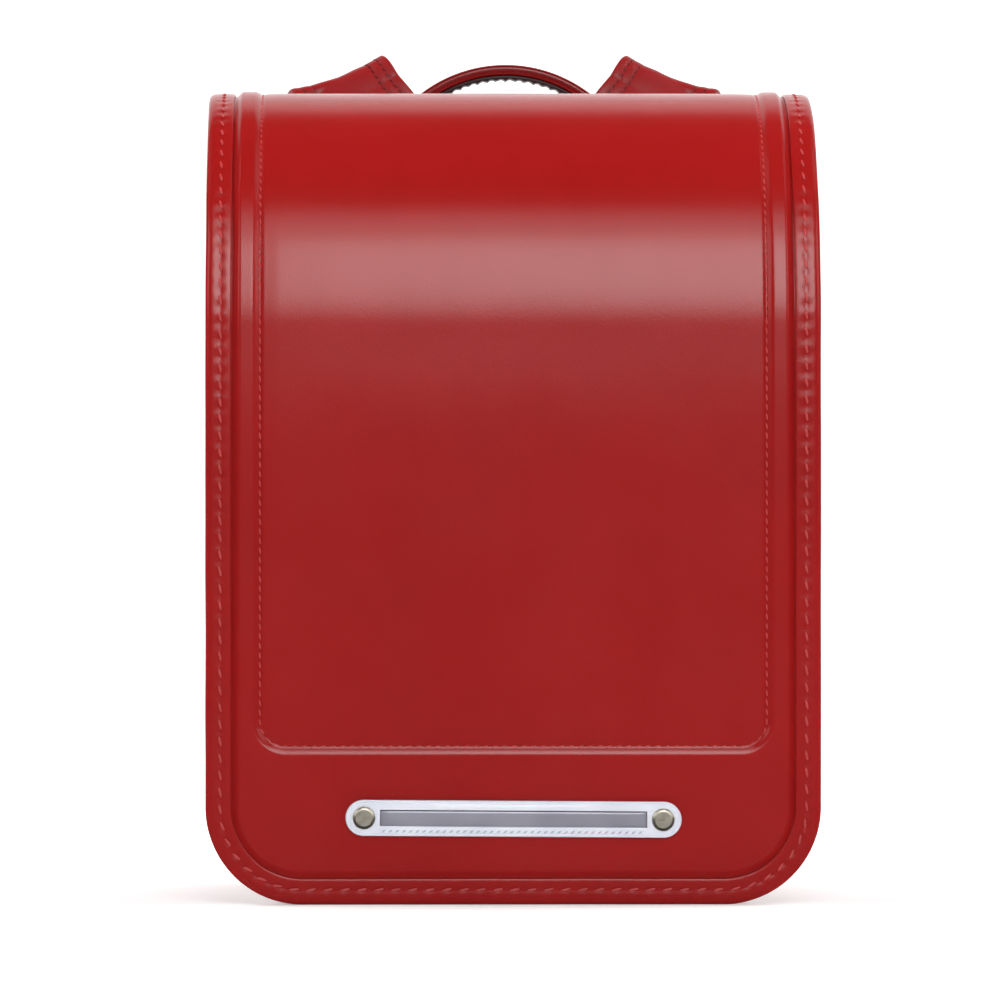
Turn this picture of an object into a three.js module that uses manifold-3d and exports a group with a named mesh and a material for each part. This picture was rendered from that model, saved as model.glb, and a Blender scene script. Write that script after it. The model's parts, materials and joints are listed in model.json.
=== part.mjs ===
// A school ransel: a box-shaped leather backpack with a flap that wraps its whole front.
// Millimetres, +Z up, the flap faces -Y, the shoulder straps are on the +Y side.
// While it is modelled, y is counted from the flap's front face, growing towards the back;
// the exported group moves everything so that the origin is under the middle of the bag.
import * as THREE from "three";
import { mergeVertices } from "three/addons/utils/BufferGeometryUtils.js";
import Module from "manifold-3d";

const wasm = await Module();
wasm.setup();

// Driving dimensions of the bag
const flapWidth = 265;
const bagHeight = 354;
const bagDepth = 178;
const gap = 0.3;

// Flap: side profile, outline, border and relief
const frontCurveRadius = 105;
const rearCurveRadius = 150;
const hingeRadius = 14;
const hemLength = 16;
const cornerRadius = 42;
const borderWidth = 11.2;
const borderLip = 1;
const borderWeb = 1.2;
const borderRounding = 0.8;
const coreThickness = 1.7;
const grooveWidth = 0.8;
const ridgeWidth = 11.5;
const ridgeHeight = 1;
const panelSeamHeight = 68;
const panelCornerRadius = 11;

// Reflector on the flap
const reflectorLength = 144.5;
const reflectorWidth = 15.5;
const reflectorThickness = 1.8;
const reflectorHeight = 37;
const rivetInset = 8;
const windowInset = 15;
const windowWidth = 6.9;
const sheetThickness = 0.8;
const rivetHeadRadius = 4.9;
const rivetHeadHeight = 1.5;
const rivetShankRadius = 1.6;

// Boxes under the flap
const bodyWidth = 236;
const bodyLift = 11;
const bodyCorner = 22;
const wall = 2.5;
const pocketDepth = 30;
const pocketTop = 256;
const pocketInset = 4;
const dividerTop = 292;
const mainTop = 320;

// Back panel, its pad and the yoke that carries handle and straps
const backWidth = 254;
const backThickness = 9.5;
const backTopClearance = 3;
const backCorner = 30;
const padInset = 41;
const padHeight = 228;
const padThickness = 8;
const padBottom = 34;
const padRounding = 16;
const padShoulder = 4;
const yokeWidth = 150;
const yokeHeight = 58;
const yokeThickness = 2.6;
const yokeCorner = 12;
const yokeDrop = 2;

// Handle
const handleRise = 18;
const handleRadius = 60;
const handleThickness = 7;
const handleDepth = 13;
const handleSweep = 78;
const tabLength = 20;
const tabWidth = 19;
const tabThickness = 2.8;

// Shoulder straps with buckle, lower strap and ring
const strapWidth = 47;
const strapThickness = 5;
const strapEdge = 1.4;
const strapRise = 12;
const strapReach = 62;
const strapRootDrop = 50;
const strapInset = 27;
const strapRootOffset = 32;
const strapStandOff = 0.9;
const strapEndHeight = 118;
const strapEndWidth = 34;
const lowerStrapWidth = 20;
const lowerStrapThickness = 2.6;
const lowerStrapLap = 34;
const eyeWall = 2.2;
const buckleWidth = 44;
const buckleHeight = 30;
const buckleGap = 0.8;
const weaveSlack = 1.3;
const buckleBar = 3.2;
const ringBottom = 30;
const ringWidth = 30;
const ringLength = 15;
const ringBar = 3;
const ringInset = 23;
const lugWidth = 20;
const lugBottom = 8;

// Closing tab and turn lock under the bag
const tabStrapWidth = 42;
const tabStrapThickness = 2.4;
const tabStrapTop = 46;
const tabStrapReach = 62;
const tabBend = 5;
const tabFloorClearance = 4.2;
const tabFlapClearance = 0.5;
const lockPlateWidth = 34;
const lockPlateLength = 30;
const lockPostRadius = 4;
const lockKnobLength = 24;
const lockKnobWidth = 10;
const lockKnobHeight = 2.4;
const lockFloorClearance = 1.2;

// Leather, metal and plastic
const shellLeather = new THREE.MeshStandardMaterial({ color: 0xa51f20, roughness: 0.38, metalness: 0 });
const strapLeather = new THREE.MeshStandardMaterial({ color: 0x9c2226, roughness: 0.42, metalness: 0 });
const padLeather = new THREE.MeshStandardMaterial({ color: 0x8f2224, roughness: 0.6, metalness: 0 });
const whitePlastic = new THREE.MeshStandardMaterial({ color: 0xe4e9f2, roughness: 0.35, metalness: 0 });
const greySheet = new THREE.MeshStandardMaterial({ color: 0x9a99a6, roughness: 0.3, metalness: 0.2 });
const paleBrass = new THREE.MeshStandardMaterial({ color: 0xcfc3a6, roughness: 0.25, metalness: 1 });
const nickel = new THREE.MeshStandardMaterial({ color: 0xc4c4c2, roughness: 0.28, metalness: 1 });

// Closed meshes and solids

function orientedOutwards(positions, faces) {
  let volume = 0;
  for (const [a, b, c] of faces) {
    volume += positions[a].dot(positions[b].clone().cross(positions[c]));
  }
  const turned = volume < 0 ? faces.map(([a, b, c]) => [a, c, b]) : faces;
  return new THREE.BufferGeometry()
    .setAttribute("position", new THREE.Float32BufferAttribute(positions.flatMap((p) => p.toArray()), 3))
    .setIndex(turned.flat());
}

// Joins equal closed loops into one closed skin; capLoop is the first loop laid flat, for its end faces.
function loft(sections, capLoop) {
  const around = capLoop.length;
  const faces = [];
  for (let i = 0; i + 1 < sections.length; i++) {
    for (let j = 0; j < around; j++) {
      const k = (j + 1) % around;
      const [a, b, c, d] = [i * around + j, i * around + k, (i + 1) * around + k, (i + 1) * around + j];
      faces.push([a, b, c], [a, c, d]);
    }
  }
  const last = (sections.length - 1) * around;
  const loopTurn = Math.sign(THREE.ShapeUtils.area(capLoop));
  for (const corners of THREE.ShapeUtils.triangulateShape(capLoop, [])) {
    const sameTurn = Math.sign(THREE.ShapeUtils.area(corners.map((i) => capLoop[i]))) === loopTurn;
    const [a, b, c] = sameTurn ? corners : [...corners].reverse();
    faces.push([a, c, b], [last + a, last + b, last + c]);
  }
  const closed = orientedOutwards(sections.flat(), faces);
  const check = new wasm.Manifold(meshOf(closed));
  if (check.isEmpty()) throw new Error("a loft didn't close");
  return closed;
}

function meshOf(geometry) {
  const bare = geometry.index ? geometry.clone() : geometry;
  const positionOnly = new THREE.BufferGeometry().setAttribute("position", bare.getAttribute("position"));
  if (bare.index) positionOnly.setIndex(bare.index);
  const merged = mergeVertices(positionOnly, 1e-4);
  return new wasm.Mesh({
    numProp: 3,
    vertProperties: merged.attributes.position.array,
    triVerts: new Uint32Array(merged.index.array),
  });
}

function solidOf(geometry) {
  return new wasm.Manifold(meshOf(geometry));
}

function geometryOf(solid) {
  const mesh = solid.getMesh();
  return new THREE.BufferGeometry()
    .setAttribute("position", new THREE.BufferAttribute(new Float32Array(mesh.vertProperties), 3))
    .setIndex(new THREE.BufferAttribute(mesh.triVerts, 1));
}

function joined(...geometries) {
  return geometryOf(geometries.map(solidOf).reduce((all, next) => all.add(next)));
}

function cut(geometry, ...tools) {
  return geometryOf(tools.map(solidOf).reduce((left, tool) => left.subtract(tool), solidOf(geometry)));
}

// A flat shape drawn in x and z, given thickness along y from y = front to y = front + thickness.
function plateAlongY(shape, front, thickness, curveSegments = 6) {
  const plate = new THREE.ExtrudeGeometry(shape, { depth: thickness, bevelEnabled: false, curveSegments });
  return plate.rotateX(Math.PI / 2).translate(0, front + thickness, 0);
}

// A shape with straight top and sides whose lower corners are round.
function pocketOutline(width, bottom, top, radius) {
  const half = width / 2;
  const shape = new THREE.Shape();
  shape.moveTo(-half, top);
  shape.lineTo(-half, bottom + radius);
  shape.absarc(-half + radius, bottom + radius, radius, Math.PI, 1.5 * Math.PI, false);
  shape.lineTo(half - radius, bottom);
  shape.absarc(half - radius, bottom + radius, radius, 1.5 * Math.PI, 2 * Math.PI, false);
  shape.lineTo(half, top);
  shape.closePath();
  return shape;
}

function roundedRectangle(width, height, radius, centreX = 0, centreY = 0) {
  const [x, y] = [centreX - width / 2, centreY - height / 2];
  const r = Math.min(radius, width / 2, height / 2);
  const shape = new THREE.Shape();
  shape.absarc(x + r, y + r, r, Math.PI, 1.5 * Math.PI, false);
  shape.absarc(x + width - r, y + r, r, 1.5 * Math.PI, 2 * Math.PI, false);
  shape.absarc(x + width - r, y + height - r, r, 0, 0.5 * Math.PI, false);
  shape.absarc(x + r, y + height - r, r, 0.5 * Math.PI, Math.PI, false);
  shape.closePath();
  return shape;
}

// Flap profile: a point of the flap lies at x across, s along its outer face from the bottom edge, h out of it

const straightLength = bagHeight - frontCurveRadius;
const rearSweep = Math.asin((bagDepth - hingeRadius - frontCurveRadius) / (rearCurveRadius - hingeRadius));
const hingeSweep = Math.PI / 2 - rearSweep;
const frontCurveEnd = straightLength + (frontCurveRadius * Math.PI) / 2;
const rearCurveEnd = frontCurveEnd + rearCurveRadius * rearSweep;
const hingeEnd = rearCurveEnd + hingeRadius * hingeSweep;
const flapLength = hingeEnd + hemLength;
const hingeCentre = {
  y: bagDepth - hingeRadius,
  z: bagHeight - rearCurveRadius + (rearCurveRadius - hingeRadius) * Math.cos(rearSweep),
};
const borderThickness = 2 * borderLip + 2 * gap + coreThickness;
const coreTop = -borderLip - gap;
const coreBottom = coreTop - coreThickness;

function onFlap(x, s, h) {
  if (s <= straightLength) return new THREE.Vector3(x, -h, s);
  if (s <= frontCurveEnd) {
    const turn = (s - straightLength) / frontCurveRadius;
    const r = frontCurveRadius + h;
    return new THREE.Vector3(x, frontCurveRadius - r * Math.cos(turn), straightLength + r * Math.sin(turn));
  }
  if (s <= rearCurveEnd) {
    const turn = (s - frontCurveEnd) / rearCurveRadius;
    const r = rearCurveRadius + h;
    const centreZ = bagHeight - rearCurveRadius;
    return new THREE.Vector3(x, frontCurveRadius + r * Math.sin(turn), centreZ + r * Math.cos(turn));
  }
  if (s <= hingeEnd) {
    const turn = rearSweep + (s - rearCurveEnd) / hingeRadius;
    const r = hingeRadius + h;
    return new THREE.Vector3(x, hingeCentre.y + r * Math.sin(turn), hingeCentre.z + r * Math.cos(turn));
  }
  return new THREE.Vector3(x, bagDepth + h, hingeCentre.z - (s - hingeEnd));
}

function evenly(from, to, steps) {
  return Array.from({ length: steps + 1 }, (_, i) => from + ((to - from) * i) / steps);
}

const frontCurveSteps = 16;
const rearCurveSteps = 5;
const hingeSteps = 5;
const cornerSteps = 8;

// Stations above the bottom corners, shared by everything that is bent with the flap.
const profileStations = [
  ...evenly(straightLength, frontCurveEnd, frontCurveSteps),
  ...evenly(frontCurveEnd, rearCurveEnd, rearCurveSteps).slice(1),
  ...evenly(rearCurveEnd, hingeEnd, hingeSteps).slice(1),
  flapLength,
];

// Half the flap's width at station s, for the outline moved in by inset.
function halfWidthAt(s, inset) {
  const side = flapWidth / 2 - inset;
  if (s >= cornerRadius) return side;
  const reach = Math.max((cornerRadius - inset) ** 2 - (cornerRadius - s) ** 2, 0);
  return flapWidth / 2 - cornerRadius + Math.sqrt(reach);
}

function cornerStations(inset) {
  return evenly(0, Math.PI / 2, cornerSteps).map((a) => cornerRadius - (cornerRadius - inset) * Math.cos(a));
}

// Distance inside the flap's outline.
function insetOf(x, s) {
  const fromSide = flapWidth / 2 - Math.abs(x);
  if (s >= cornerRadius || fromSide >= cornerRadius) return Math.min(fromSide, s);
  return cornerRadius - Math.hypot(cornerRadius - fromSide, cornerRadius - s);
}

const raisedInset = borderWidth + grooveWidth;
const panelInset = raisedInset + ridgeWidth;

// Distance inside the stitched panel, negative outside it.
function insidePanel(x, s) {
  const [across, along] = [flapWidth / 2 - panelInset - Math.abs(x), s - panelSeamHeight];
  if (across >= panelCornerRadius || along >= panelCornerRadius) return Math.min(across, along);
  return panelCornerRadius - Math.hypot(panelCornerRadius - across, panelCornerRadius - along);
}

function smoothStep(t) {
  const u = Math.min(Math.max(t, 0), 1);
  return u * u * (3 - 2 * u);
}

// Height of the raised leather over the border's face: a padded rim that drops to the stitched panel.
function reliefAt(x, s) {
  const rimEdge = smoothStep((insetOf(x, s) - raisedInset) / (ridgeWidth / 3));
  const seamEdge = smoothStep(-insidePanel(x, s) / (ridgeWidth / 3));
  return ridgeHeight * Math.min(rimEdge, seamEdge);
}

function raisedFlap() {
  const inset = raisedInset;
  const low = (coreTop + coreBottom) / 2;
  const rimColumns = [0, ridgeWidth / 6, ridgeWidth / 3, (2 * ridgeWidth) / 3, ridgeWidth, ridgeWidth * 1.4, 2 * ridgeWidth];
  const seamStations = [-ridgeWidth / 3, 0, panelCornerRadius / 3, panelCornerRadius].map((d) => panelSeamHeight + d);
  const rimStations = cornerStations(inset);
  const stations = [...rimStations, ...seamStations, ...profileStations];
  const columnsAt = (s) => {
    const half = halfWidthAt(s, inset);
    const right = rimColumns.map((c) => half - c);
    return [...right, ...right.map((x) => -x).reverse()];
  };
  const sections = stations.map((s) => {
    const columns = columnsAt(s);
    const top = columns.map((x) => onFlap(x, s, reliefAt(x, s)));
    return [...top, onFlap(columns.at(-1), s, low), onFlap(columns[0], s, low)];
  });
  const first = columnsAt(stations[0]);
  const capLoop = first.map((x) => new THREE.Vector2(x, reliefAt(x, stations[0])));
  capLoop.push(new THREE.Vector2(first.at(-1), low), new THREE.Vector2(first[0], low));
  return loft(sections, capLoop);
}

function flapCore() {
  const inset = borderWeb + gap;
  const stations = [...cornerStations(inset), ...profileStations];
  const sections = stations.map((s) => {
    const half = halfWidthAt(s, inset);
    return [
      onFlap(half, s, coreTop),
      onFlap(-half, s, coreTop),
      onFlap(-half, s, coreBottom),
      onFlap(half, s, coreBottom),
    ];
  });
  const half = halfWidthAt(stations[0], inset);
  const capLoop = [
    new THREE.Vector2(half, coreTop),
    new THREE.Vector2(-half, coreTop),
    new THREE.Vector2(-half, coreBottom),
    new THREE.Vector2(half, coreBottom),
  ];
  return loft(sections, capLoop);
}

const rivetSpacing = reflectorLength - 2 * rivetInset;

function rivetPositions() {
  return [-rivetSpacing / 2, rivetSpacing / 2];
}

function flapPanel() {
  const holes = rivetPositions().map((x) => {
    const length = 4 * borderThickness;
    return new THREE.CylinderGeometry(rivetShankRadius + gap, rivetShankRadius + gap, length, 12).translate(
      x,
      0,
      reflectorHeight,
    );
  });
  return cut(joined(flapCore(), raisedFlap()), ...holes);
}

// The border is a folded strip that grips the flap's edge from the hem round both corners to the other hem.
function flapBorder() {
  const [outerLow, width] = [-borderThickness, borderWidth];
  const soft = borderRounding;
  const section = [
    [soft, 0],
    [width, 0],
    [width, -borderLip],
    [borderWeb, -borderLip],
    [borderWeb, outerLow + borderLip],
    [width, outerLow + borderLip],
    [width, outerLow],
    [soft, outerLow],
    [soft / 4, outerLow + soft / 2],
    [0, outerLow + 1.6 * soft],
    [0, -1.6 * soft],
    [soft / 4, -soft / 2],
  ];
  const half = flapWidth / 2;
  const route = [];
  for (const s of [...profileStations].reverse()) {
    route.push({ x: -half, s, inX: 1, inS: 0 });
  }
  for (const a of evenly(0, Math.PI / 2, cornerSteps)) {
    const [inX, inS] = [Math.cos(a), Math.sin(a)];
    route.push({ x: -half + cornerRadius * (1 - inX), s: cornerRadius * (1 - inS), inX, inS });
  }
  const other = route.map((p) => ({ x: -p.x, s: p.s, inX: -p.inX, inS: p.inS })).reverse();
  const sections = [...route, ...other].map((p) =>
    section.map(([d, h]) => onFlap(p.x + d * p.inX, p.s + d * p.inS, h)),
  );
  return loft(
    sections,
    section.map(([d, h]) => new THREE.Vector2(d, h)),
  );
}

// Reflector

const reflectorFront = -ridgeHeight - gap;
const windowLength = reflectorLength - 2 * windowInset;

function reflectorFrame() {
  const outline = roundedRectangle(reflectorLength, reflectorWidth, reflectorWidth / 2, 0, reflectorHeight);
  outline.holes.push(roundedRectangle(windowLength, windowWidth, 1, 0, reflectorHeight));
  for (const x of rivetPositions()) {
    outline.holes.push(new THREE.Path().absarc(x, reflectorHeight, rivetShankRadius + gap, 0, 2 * Math.PI, true));
  }
  return plateAlongY(outline, reflectorFront - reflectorThickness, reflectorThickness, 8);
}

function reflectorSheet() {
  const outline = roundedRectangle(windowLength - 2 * gap, windowWidth - 2 * gap, 1, 0, reflectorHeight);
  return plateAlongY(outline, reflectorFront - sheetThickness, sheetThickness, 3);
}

function reflectorRivet() {
  const head = rivetHeadHeight;
  const shankLength = gap + reflectorThickness + gap + ridgeHeight - coreBottom;
  const profile = [
    [0, head],
    [rivetHeadRadius * 0.84, head],
    [rivetHeadRadius, head * 0.55],
    [rivetHeadRadius, 0],
    [rivetShankRadius, 0],
    [rivetShankRadius, -shankLength],
    [0, -shankLength],
  ];
  const lathe = new THREE.LatheGeometry(
    profile.reverse().map(([r, y]) => new THREE.Vector2(r, y)),
    20,
  );
  return lathe.rotateX(Math.PI);
}

// Boxes under the flap

const pocketSetback = borderThickness + tabFlapClearance + tabStrapThickness + gap;
const dividerFront = pocketSetback + wall + gap + pocketDepth + gap;
const mainFront = dividerFront + wall + gap;
const backFront = bagDepth - borderThickness - gap - backThickness;
const mainDepth = backFront - gap - mainFront;

// A gusset is one strip that runs down one side, under the box and up the other side.
function gusset(width, bottom, top, front, depth) {
  const half = width / 2;
  const inner = Math.max(bodyCorner - wall, 1);
  const shape = new THREE.Shape();
  shape.moveTo(-half, top);
  shape.lineTo(-half, bottom + bodyCorner);
  shape.absarc(-half + bodyCorner, bottom + bodyCorner, bodyCorner, Math.PI, 1.5 * Math.PI, false);
  shape.lineTo(half - bodyCorner, bottom);
  shape.absarc(half - bodyCorner, bottom + bodyCorner, bodyCorner, 1.5 * Math.PI, 2 * Math.PI, false);
  shape.lineTo(half, top);
  shape.lineTo(half - wall, top);
  shape.lineTo(half - wall, bottom + bodyCorner);
  shape.absarc(half - bodyCorner, bottom + bodyCorner, inner, 2 * Math.PI, 1.5 * Math.PI, true);
  shape.lineTo(-half + bodyCorner, bottom + wall);
  shape.absarc(-half + bodyCorner, bottom + bodyCorner, inner, 1.5 * Math.PI, Math.PI, true);
  shape.lineTo(-half + wall, top);
  shape.closePath();
  return plateAlongY(shape, front, depth);
}

function facePlate(width, top, front) {
  return plateAlongY(pocketOutline(width, bodyLift, top, bodyCorner), front, wall);
}

// Back panel and pad

const backTop = hingeCentre.z - backTopClearance;

function backPanel() {
  return plateAlongY(pocketOutline(backWidth, 0, backTop, backCorner), backFront, backThickness, 8);
}

// A closed cushion: each row insets the outline by a share of the shoulder and rises by a share of the thickness.
function cushion(width, height, radius, thickness, shoulder) {
  const rows = [
    { inset: 0.4, rise: 0 },
    { inset: 0, rise: 0.3 },
    { inset: 0.5, rise: 0.75 },
    { inset: 2, rise: 0.94 },
    { inset: 5, rise: 1 },
  ];
  const loops = rows.map(({ inset, rise }) => {
    const d = inset * shoulder;
    const outline = roundedRectangle(width - 2 * d, height - 2 * d, Math.max(radius - d, 2));
    const ring = outline.getSpacedPoints(48).slice(0, -1);
    return ring.map((p) => new THREE.Vector3(p.x, rise * thickness, p.y));
  });
  return loft(
    loops,
    loops[0].map((p) => new THREE.Vector2(p.x, p.z)),
  );
}

const padWidth = backWidth - 2 * padInset;
const padBack = bagDepth - borderThickness + padThickness;

function backPad() {
  const pad = cushion(padWidth, padHeight, padRounding, padThickness, padShoulder);
  return pad.translate(0, padBack - padThickness, padBottom + padHeight / 2);
}

// Yoke and handle

const yokeFront = bagDepth + gap;
const yokeBack = yokeFront + yokeThickness;
const yokeTop = hingeCentre.z - yokeDrop;
const yokeBottom = yokeTop - yokeHeight;

function yoke() {
  const outline = roundedRectangle(yokeWidth, yokeHeight, yokeCorner, 0, yokeTop - yokeHeight / 2);
  return plateAlongY(outline, yokeFront, yokeThickness, 4);
}

const handleTop = bagHeight + handleRise;
const handleCentreZ = handleTop - handleThickness / 2 - handleRadius;
const handleInner = yokeBack + gap;

// A loop in a section's own plane: a rounded bar, wide across the handle and thick along its radius.
function barLoop(width, thickness, corners = 3) {
  const outline = roundedRectangle(width, thickness, Math.min(width, thickness) * 0.42);
  return outline.extractPoints(corners).shape;
}

// The handle arches over and its two ends lie flat on the yoke.
function handle() {
  const sweep = THREE.MathUtils.degToRad(handleSweep);
  const arch = evenly(-sweep, sweep, 22).map((turn) => {
    const share = Math.abs(turn) / sweep;
    const flat = smoothStep((share - 0.7) / 0.3);
    return {
      at: new THREE.Vector2(handleRadius * Math.sin(turn), handleCentreZ + handleRadius * Math.cos(turn)),
      turn,
      depth: THREE.MathUtils.lerp(handleDepth, tabThickness, flat),
      across: THREE.MathUtils.lerp(handleThickness, tabWidth, flat),
    };
  });
  const foot = (side) => ({
    at: new THREE.Vector2(
      side * handleRadius * Math.sin(sweep) + side * tabLength * Math.cos(sweep),
      handleCentreZ + handleRadius * Math.cos(sweep) - tabLength * Math.sin(sweep),
    ),
    turn: side * sweep,
    depth: tabThickness,
    across: tabWidth,
  });
  const stations = [foot(-1), ...arch, foot(1)];
  const sections = stations.map(({ at, turn, depth, across }) =>
    barLoop(depth, across).map((p) => {
      const y = handleInner + depth / 2 + p.x;
      return new THREE.Vector3(at.x + p.y * Math.sin(turn), y, at.y + p.y * Math.cos(turn));
    }),
  );
  return loft(sections, barLoop(tabThickness, tabWidth));
}

// Shoulder straps

const strapSpread = backWidth / 2 - strapInset;
const strapRootZ = yokeTop - strapRootDrop + strapThickness;
const strapCrestZ = bagHeight + strapRise;
const strapBase = yokeBack + strapStandOff + strapThickness / 2;

// Each row places the middle of the strap: out is the share of the way from the root to the strap's full spread,
// back the share of its reach behind the yoke, up the share of the way from the lower end to the crest.
// Roll is in degrees and lowers the strap's outer edge.
const strapRows = [
  { out: 0, back: 0, up: 0, rising: true, roll: 0 },
  { out: 0.02, back: 0.02, up: 0.09, rising: true, roll: 0 },
  { out: 0.08, back: 0.1, up: 0.26, rising: true, roll: 0 },
  { out: 0.2, back: 0.2, up: 0.47, rising: true, roll: 2 },
  { out: 0.38, back: 0.3, up: 0.71, rising: true, roll: 2 },
  { out: 0.56, back: 0.39, up: 0.89, rising: true, roll: 12 },
  { out: 0.67, back: 0.52, up: 1, rising: true, roll: 23 },
  { out: 0.71, back: 0.68, up: 0.965, rising: false, roll: 24 },
  { out: 0.77, back: 0.83, up: 0.82, rising: false, roll: 18 },
  { out: 0.81, back: 0.95, up: 0.73, rising: false, roll: 12 },
  { out: 0.87, back: 1, up: 0.6, rising: false, roll: 6 },
  { out: 0.92, back: 0.96, up: 0.45, rising: false, roll: 3 },
  { out: 0.97, back: 0.82, up: 0.3, rising: false, roll: 0 },
  { out: 0.99, back: 0.6, up: 0.13, rising: false, roll: 0 },
  { out: 1, back: 0.42, up: 0, rising: false, roll: 0 },
];

function strapMiddle({ out, back, up, rising }) {
  const lowest = rising ? strapRootZ : strapEndHeight;
  return new THREE.Vector3(
    THREE.MathUtils.lerp(strapRootOffset, strapSpread, out),
    strapBase + back * strapReach,
    THREE.MathUtils.lerp(lowest, strapCrestZ, up),
  );
}

function rollAt(share) {
  const place = share * (strapRows.length - 1);
  const row = Math.min(Math.floor(place), strapRows.length - 2);
  return THREE.MathUtils.lerp(strapRows[row].roll, strapRows[row + 1].roll, place - row);
}

// A flat band with soft edges swept along a curve; rollOf lowers its outer edge, widthOf sets its width.
function band(curve, steps, thickness, widthOf, rollOf, soft) {
  const flatLoop = (width) => {
    const [w, t] = [width / 2, thickness / 2];
    return [
      [-w + soft, -t],
      [w - soft, -t],
      [w, -t + soft],
      [w, t - soft],
      [w - soft, t],
      [-w + soft, t],
      [-w, t - soft],
      [-w, -t + soft],
    ];
  };
  const sections = evenly(0, 1, steps).map((share) => {
    const middle = curve.getPoint(share);
    const along = curve.getTangent(share);
    const roll = THREE.MathUtils.degToRad(rollOf(share));
    const level = new THREE.Vector3(Math.cos(roll), 0, -Math.sin(roll));
    const across = level.addScaledVector(along, -level.dot(along)).normalize();
    const out = new THREE.Vector3().crossVectors(along, across).normalize();
    return flatLoop(widthOf(share)).map(([u, v]) => middle.clone().addScaledVector(across, u).addScaledVector(out, v));
  });
  return loft(
    sections,
    flatLoop(widthOf(0)).map(([u, v]) => new THREE.Vector2(u, v)),
  );
}

const strapCurve = new THREE.CatmullRomCurve3(strapRows.map(strapMiddle), false, "centripetal");
const strapTaperStart = 0.82;

function strapWidthAt(share) {
  return THREE.MathUtils.lerp(strapWidth, strapEndWidth, smoothStep((share - strapTaperStart) / (1 - strapTaperStart)));
}

function shoulderStrap() {
  return band(strapCurve, 44, strapThickness, strapWidthAt, rollAt, strapEdge);
}

// The buckle hangs in line with the strap's end, the lower strap runs through it down to the ring.

const strapEnd = strapCurve.getPoint(1);
const strapEndAlong = strapCurve.getTangent(1);
const buckleMiddle = strapEnd.clone().addScaledVector(strapEndAlong, buckleGap + buckleHeight / 2);
const endSlope = Math.atan2(-strapEndAlong.y, -strapEndAlong.z);

function buckle() {
  const outer = roundedRectangle(buckleWidth, buckleHeight, buckleBar);
  outer.holes.push(roundedRectangle(buckleWidth - 2 * buckleBar, buckleHeight - 2 * buckleBar, 1));
  const frame = new THREE.ExtrudeGeometry(outer, { depth: buckleBar, bevelEnabled: false, curveSegments: 3 });
  frame.translate(0, 0, -buckleBar / 2).rotateX(Math.PI / 2);
  const bar = new THREE.BoxGeometry(buckleWidth - buckleBar, buckleBar * 0.8, buckleBar * 0.7);
  return joined(frame, bar).rotateX(-endSlope).translate(...buckleMiddle.toArray());
}

// Eyes wrap the ring's bars: one ends the lug on the back panel, the other the lower strap.
const backFace = backFront + backThickness;
const ringSpread = backWidth / 2 - ringInset;
const eyeHole = ringBar * Math.SQRT1_2 + gap;
const eyeRadius = eyeHole + eyeWall;
const ringY = backFace + gap + eyeRadius;
const ringTop = ringBottom + ringLength;

function eye(radius, width, z) {
  return new THREE.CylinderGeometry(radius, radius, width, 20).rotateZ(Math.PI / 2).translate(ringSpread, ringY, z);
}

// The lower strap leaves the ring, passes behind the buckle's lower bar, over its middle bar and behind
// its upper bar, and ends lapped behind the shoulder strap.
function lowerStrap() {
  const weave = (buckleBar + lowerStrapThickness) / 2 + weaveSlack;
  const lapDepth = (strapThickness + lowerStrapThickness) / 2 + gap;
  const outwards = new THREE.Vector3(0, Math.cos(endSlope), -Math.sin(endSlope));
  const upwards = new THREE.Vector3(0, Math.sin(endSlope), Math.cos(endSlope));
  const beside = (up, out) => buckleMiddle.clone().addScaledVector(upwards, up).addScaledVector(outwards, out);
  const barStep = (buckleHeight - buckleBar) / 2;
  const lapStart = buckleHeight / 2 + gap;
  const eyeTop = new THREE.Vector3(ringSpread, ringY, ringTop + eyeHole + lowerStrapThickness / 2);
  const points = [
    beside(lapStart + lowerStrapLap, -lapDepth - weaveSlack),
    beside(lapStart + lowerStrapLap / 2, -lapDepth - weaveSlack),
    beside(lapStart + lowerStrapThickness, -lapDepth - weaveSlack / 2),
    beside(barStep, -weave),
    beside(0, weave),
    beside(-barStep, -weave),
    beside(-buckleHeight, -weave),
    eyeTop,
  ];
  const strip = band(
    new THREE.CatmullRomCurve3(points, false, "centripetal"),
    36,
    lowerStrapThickness,
    () => lowerStrapWidth,
    () => 0,
    0.4,
  );
  return cut(joined(strip, eye(eyeRadius, lowerStrapWidth, ringTop)), eye(eyeHole, 2 * lowerStrapWidth, ringTop));
}

// A plain rectangular ring whose bars run across at ringBottom and ringTop.
function ring() {
  const outer = roundedRectangle(ringWidth, ringLength + ringBar, ringBar);
  outer.holes.push(roundedRectangle(ringWidth - 2 * ringBar, ringLength - ringBar, 1));
  const frame = new THREE.ExtrudeGeometry(outer, { depth: ringBar, bevelEnabled: false, curveSegments: 3 });
  frame.translate(0, 0, -ringBar / 2).rotateX(Math.PI / 2);
  return frame.translate(ringSpread, ringY, (ringBottom + ringTop) / 2);
}

// The lug lies on the back panel and its eye holds the ring's lower bar.
function lug() {
  const strip = new THREE.BoxGeometry(lugWidth, eyeWall + eyeHole, ringBottom - lugBottom);
  strip.translate(ringSpread, backFace + gap + (eyeWall + eyeHole) / 2, (ringBottom + lugBottom) / 2);
  return cut(joined(strip, eye(eyeRadius, lugWidth, ringBottom)), eye(eyeHole, 2 * lugWidth, ringBottom));
}

// Closing tab and lock

const tabInner = borderThickness + tabFlapClearance;
const lockY = tabInner + tabStrapReach - lockKnobWidth - tabBend;

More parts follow.
